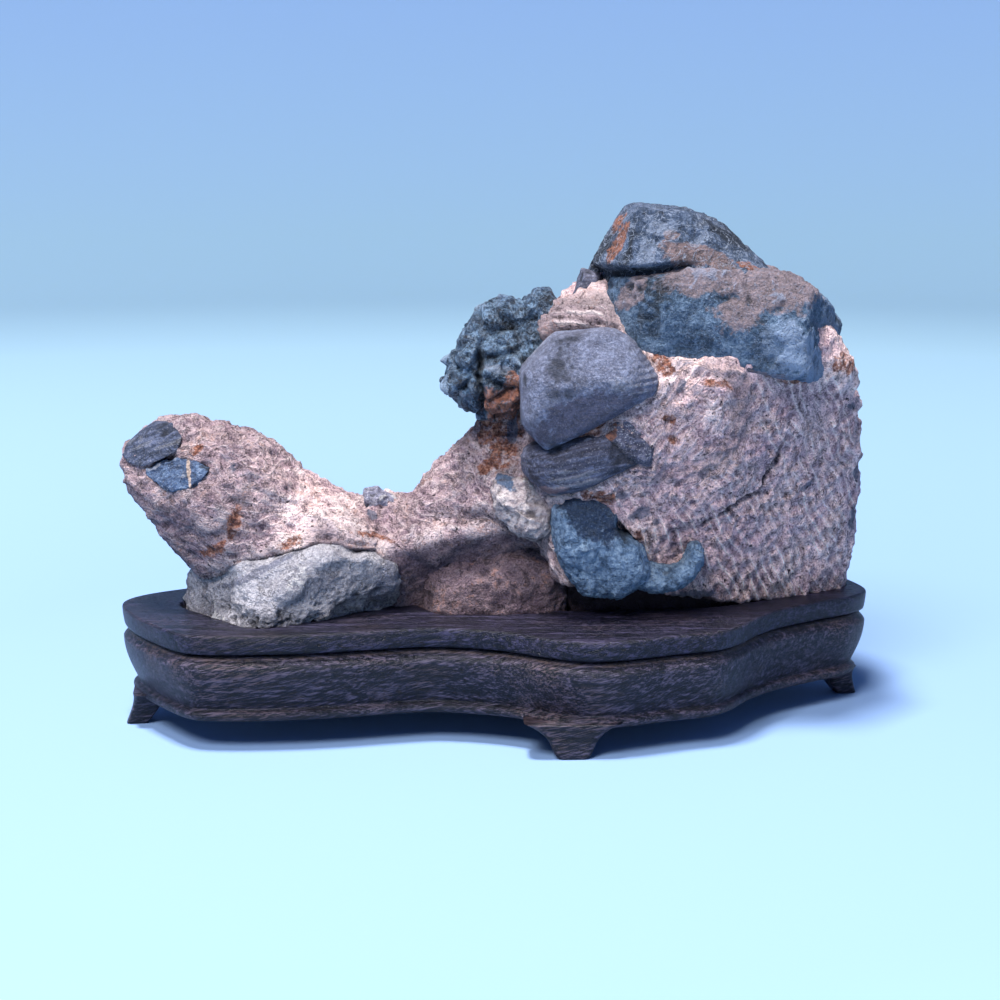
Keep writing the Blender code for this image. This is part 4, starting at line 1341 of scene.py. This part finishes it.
def stand_surface():
    """The moulding carried round the outline, with ruled covers over and under it."""
    curve, inward = outline_loop()
    profile = moulding()
    rings = curve[None] + profile[:, None, :1] * inward[None]
    heights = np.broadcast_to(profile[:, 1][:, None, None], (*rings.shape[:2], 1))
    sides = np.concatenate([rings, heights], axis=2).reshape(-1, 3)
    side_quads = strip_quads(len(profile), len(curve), True)
    top, top_quads = ruled(rings[-1], TOP_CUTS, PLATE_TOP, True)
    below, below_quads = ruled(rings[0], UNDER_CUTS, profile[0, 1], False)
    dip = seat_depth(top)
    wave = 0.05 * cloud(top, 9.0, 2, 141)
    cut = np.arange(TOP_CUTS + 1)
    calm = np.minimum(1.0, 4.0 * np.minimum(cut, TOP_CUTS - cut) / TOP_CUTS)
    top[:, 2] += wave * np.tile(calm, len(top) // len(cut)) - dip
    points = np.concatenate([sides, top, below])
    quads = np.concatenate([side_quads, top_quads + len(sides), below_quads + len(sides) + len(top)])
    bare = np.concatenate([np.repeat(profile[:, 2], len(curve)), np.zeros(len(top) + len(below))])
    flat = np.concatenate([
        grid_map(len(profile), len(curve), True, 0.01, 0.01, 0.98, 0.30),
        grid_map(len(curve) // 2 + 1, TOP_CUTS + 1, False, 0.01, 0.34, 0.63, 0.64)[:, ::-1],
        grid_map(len(curve) // 2 + 1, UNDER_CUTS + 1, False, 0.66, 0.34, 0.33, 0.64),
    ])
    points, quads, first = welded(points, quads)
    return points, quads, flat, bare[first]


def wood_finish():
    """Oiled rosewood: near-black streaks and pores along the grain, browner between them, a bare tan
    where the bevel and the edges are worn, and a satin polish. The bluish cast of its tones, and the
    plate darker and bluer still, are a painted reflection of the blue surroundings."""
    finish = Finish("stand_rosewood", Specular_IOR_Level=0.26)
    bend = finish.grain(26.0, 2.0) - 0.5
    spot = finish.place(stretch=(1.0, 1.0, 1.0))
    bent = finish.node("ShaderNodeVectorMath", {"operation": "MULTIPLY_ADD"}, spot,
                       (1.0 / 12.0, 1.0 / 0.8, 1.0 / 0.8),
                       finish.node("ShaderNodeCombineXYZ", {}, bend, bend * 3.0, bend * 4.0))
    streak = finish.node("ShaderNodeTexNoise", {}, Vector=bent, Scale=1.0, Detail=5.0, Roughness=0.6)
    fibre = finish.grain(1.0, 4.0, 0.7, stretch=(2.6, 0.26, 0.26), turn=(0, 14, 0))
    pores = finish.grain(1.0, 2.0, 0.5, stretch=(1.8, 0.24, 0.24), turn=(0, 8, 0)).over(0.61, 0.70)
    tone = 0.45 * streak + 0.55 * fibre
    # Tones tinted blue: a painted reflection.
    colour = finish.ramp(tone, (0.40, linear(4, 4, 8)), (0.5, linear(18, 18, 30)),
                         (0.60, linear(82, 72, 86)))
    brown = finish.grain(9.0, 4.0, 0.6, stretch=(2.0, 1.0, 1.0)).over(0.48, 0.62) * 0.6
    colour = finish.blend(brown * fibre.over(0.48, 0.58), colour, linear(86, 68, 66))
    # Painted reflection: above the groove the plate is darkened and tinted blue.
    height_up = finish.node("ShaderNodeSeparateXYZ", {}, finish.place(), out=2)
    plate_reflection_mask = height_up.over(GROOVE - 0.4, GROOVE + 0.4)
    colour = finish.blend(plate_reflection_mask, colour, finish.blend(1.0, colour, (0.52, 0.56, 0.74), "MULTIPLY"))
    bare = finish.broken("bare", 0.9, 1.4, 5.0, 0.7)
    colour = finish.blend(bare.over(0.6, 1.2) * 0.55, colour, linear(112, 90, 76))
    colour = finish.blend(pores * 0.8, colour, linear(8, 6, 8))
    height = fibre * 0.6 + streak * 0.4 - pores * 0.8
    return finish.done(colour, 0.26 + 0.2 * tone + 0.2 * pores, finish.bumps(height, 0.4))


rosewood = wood_finish()


def stand_piece(name, points, quads, flat, bare):
    """A piece of the stand, with its flat map and its wear."""
    rows = quads != np.roll(quads, -1, axis=1)
    kept = rows.sum(axis=1) > 2
    piece = dressed(name, points, quads, flat[kept][rows[kept]], {"bare": bare}, rosewood)
    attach(piece, "root")
    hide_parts("stand")


stand_piece("stand_body", *stand_surface())

# ---------------------------------------------------------------------------------------
# Its four feet, carved from the same piece: brackets with S-shaped flanks.

FEET = {
    "foot_front": dict(at=(11.8, -28.2), turn=-88, wide=7.0, deep=4.6, flare=9.0, splay=0.6),
    "foot_left": dict(at=(-59.8, -9.0), turn=186, wide=5.0, deep=4.2, flare=6.0, splay=2.6),
    "foot_right": dict(at=(59.6, 8.4), turn=14, wide=5.0, deep=4.2, flare=6.0, splay=2.6),
    "foot_back": dict(at=(7.6, 28.4), turn=91, wide=7.0, deep=4.6, flare=9.0, splay=0.6),
}
FOOT_TOP = UNDERSIDE + 1.0
FOOT_SQUARE, FOOT_CHAMFER = 0.32, 0.955  # how square a foot is, and how its lowest edge is eased


def foot_surface(at, turn, wide, deep, flare, splay):
    """A foot: a square with rounded corners at each height. Its width grows as the cube of
    the height, with a narrow waist over the table, and it steps out as it goes down; flat caps
    close its ends."""
    heights = np.concatenate([[0.0, 0.0], np.linspace(0.03, 1.0, 22), [1.0]])
    shrink = np.ones(len(heights))
    shrink[[0, -1]] = 0.0
    shrink[1] = FOOT_CHAMFER
    round_ = np.linspace(0.0, 2.0 * np.pi, 65)[:-1]
    across = np.sign(np.sin(round_)) * np.abs(np.sin(round_)) ** FOOT_SQUARE
    along = np.sign(np.cos(round_)) * np.abs(np.cos(round_)) ** FOOT_SQUARE
    width = 0.5 * (wide * (1.0 - 0.34 * np.exp(-heights / 0.14)) + flare * heights**3)
    outward = np.array([math.cos(math.radians(turn)), math.sin(math.radians(turn))])
    sideways = np.array([-outward[1], outward[0]])
    thick = 0.5 * deep * (0.85 + 0.55 * heights) * shrink
    out = (splay * (1.0 - heights) ** 1.5)[:, None] + thick[:, None] * along[None]
    over = (width * shrink)[:, None] * across[None]
    flat = np.array(at) + out[..., None] * outward + over[..., None] * sideways
    points = np.concatenate(
        [flat, np.broadcast_to((heights * FOOT_TOP)[:, None, None], (*over.shape, 1))], axis=2)
    rows, columns = over.shape
    quads = strip_quads(rows, columns, True)
    spread = grid_map(rows, columns, True, 0.02, 0.02, 0.96, 0.96)
    points, quads, _ = welded(points.reshape(-1, 3), quads)
    return points, quads, spread, np.full(len(points), 0.15)


for foot_name, foot_shape in FEET.items():
    stand_piece(foot_name, *foot_surface(**foot_shape))
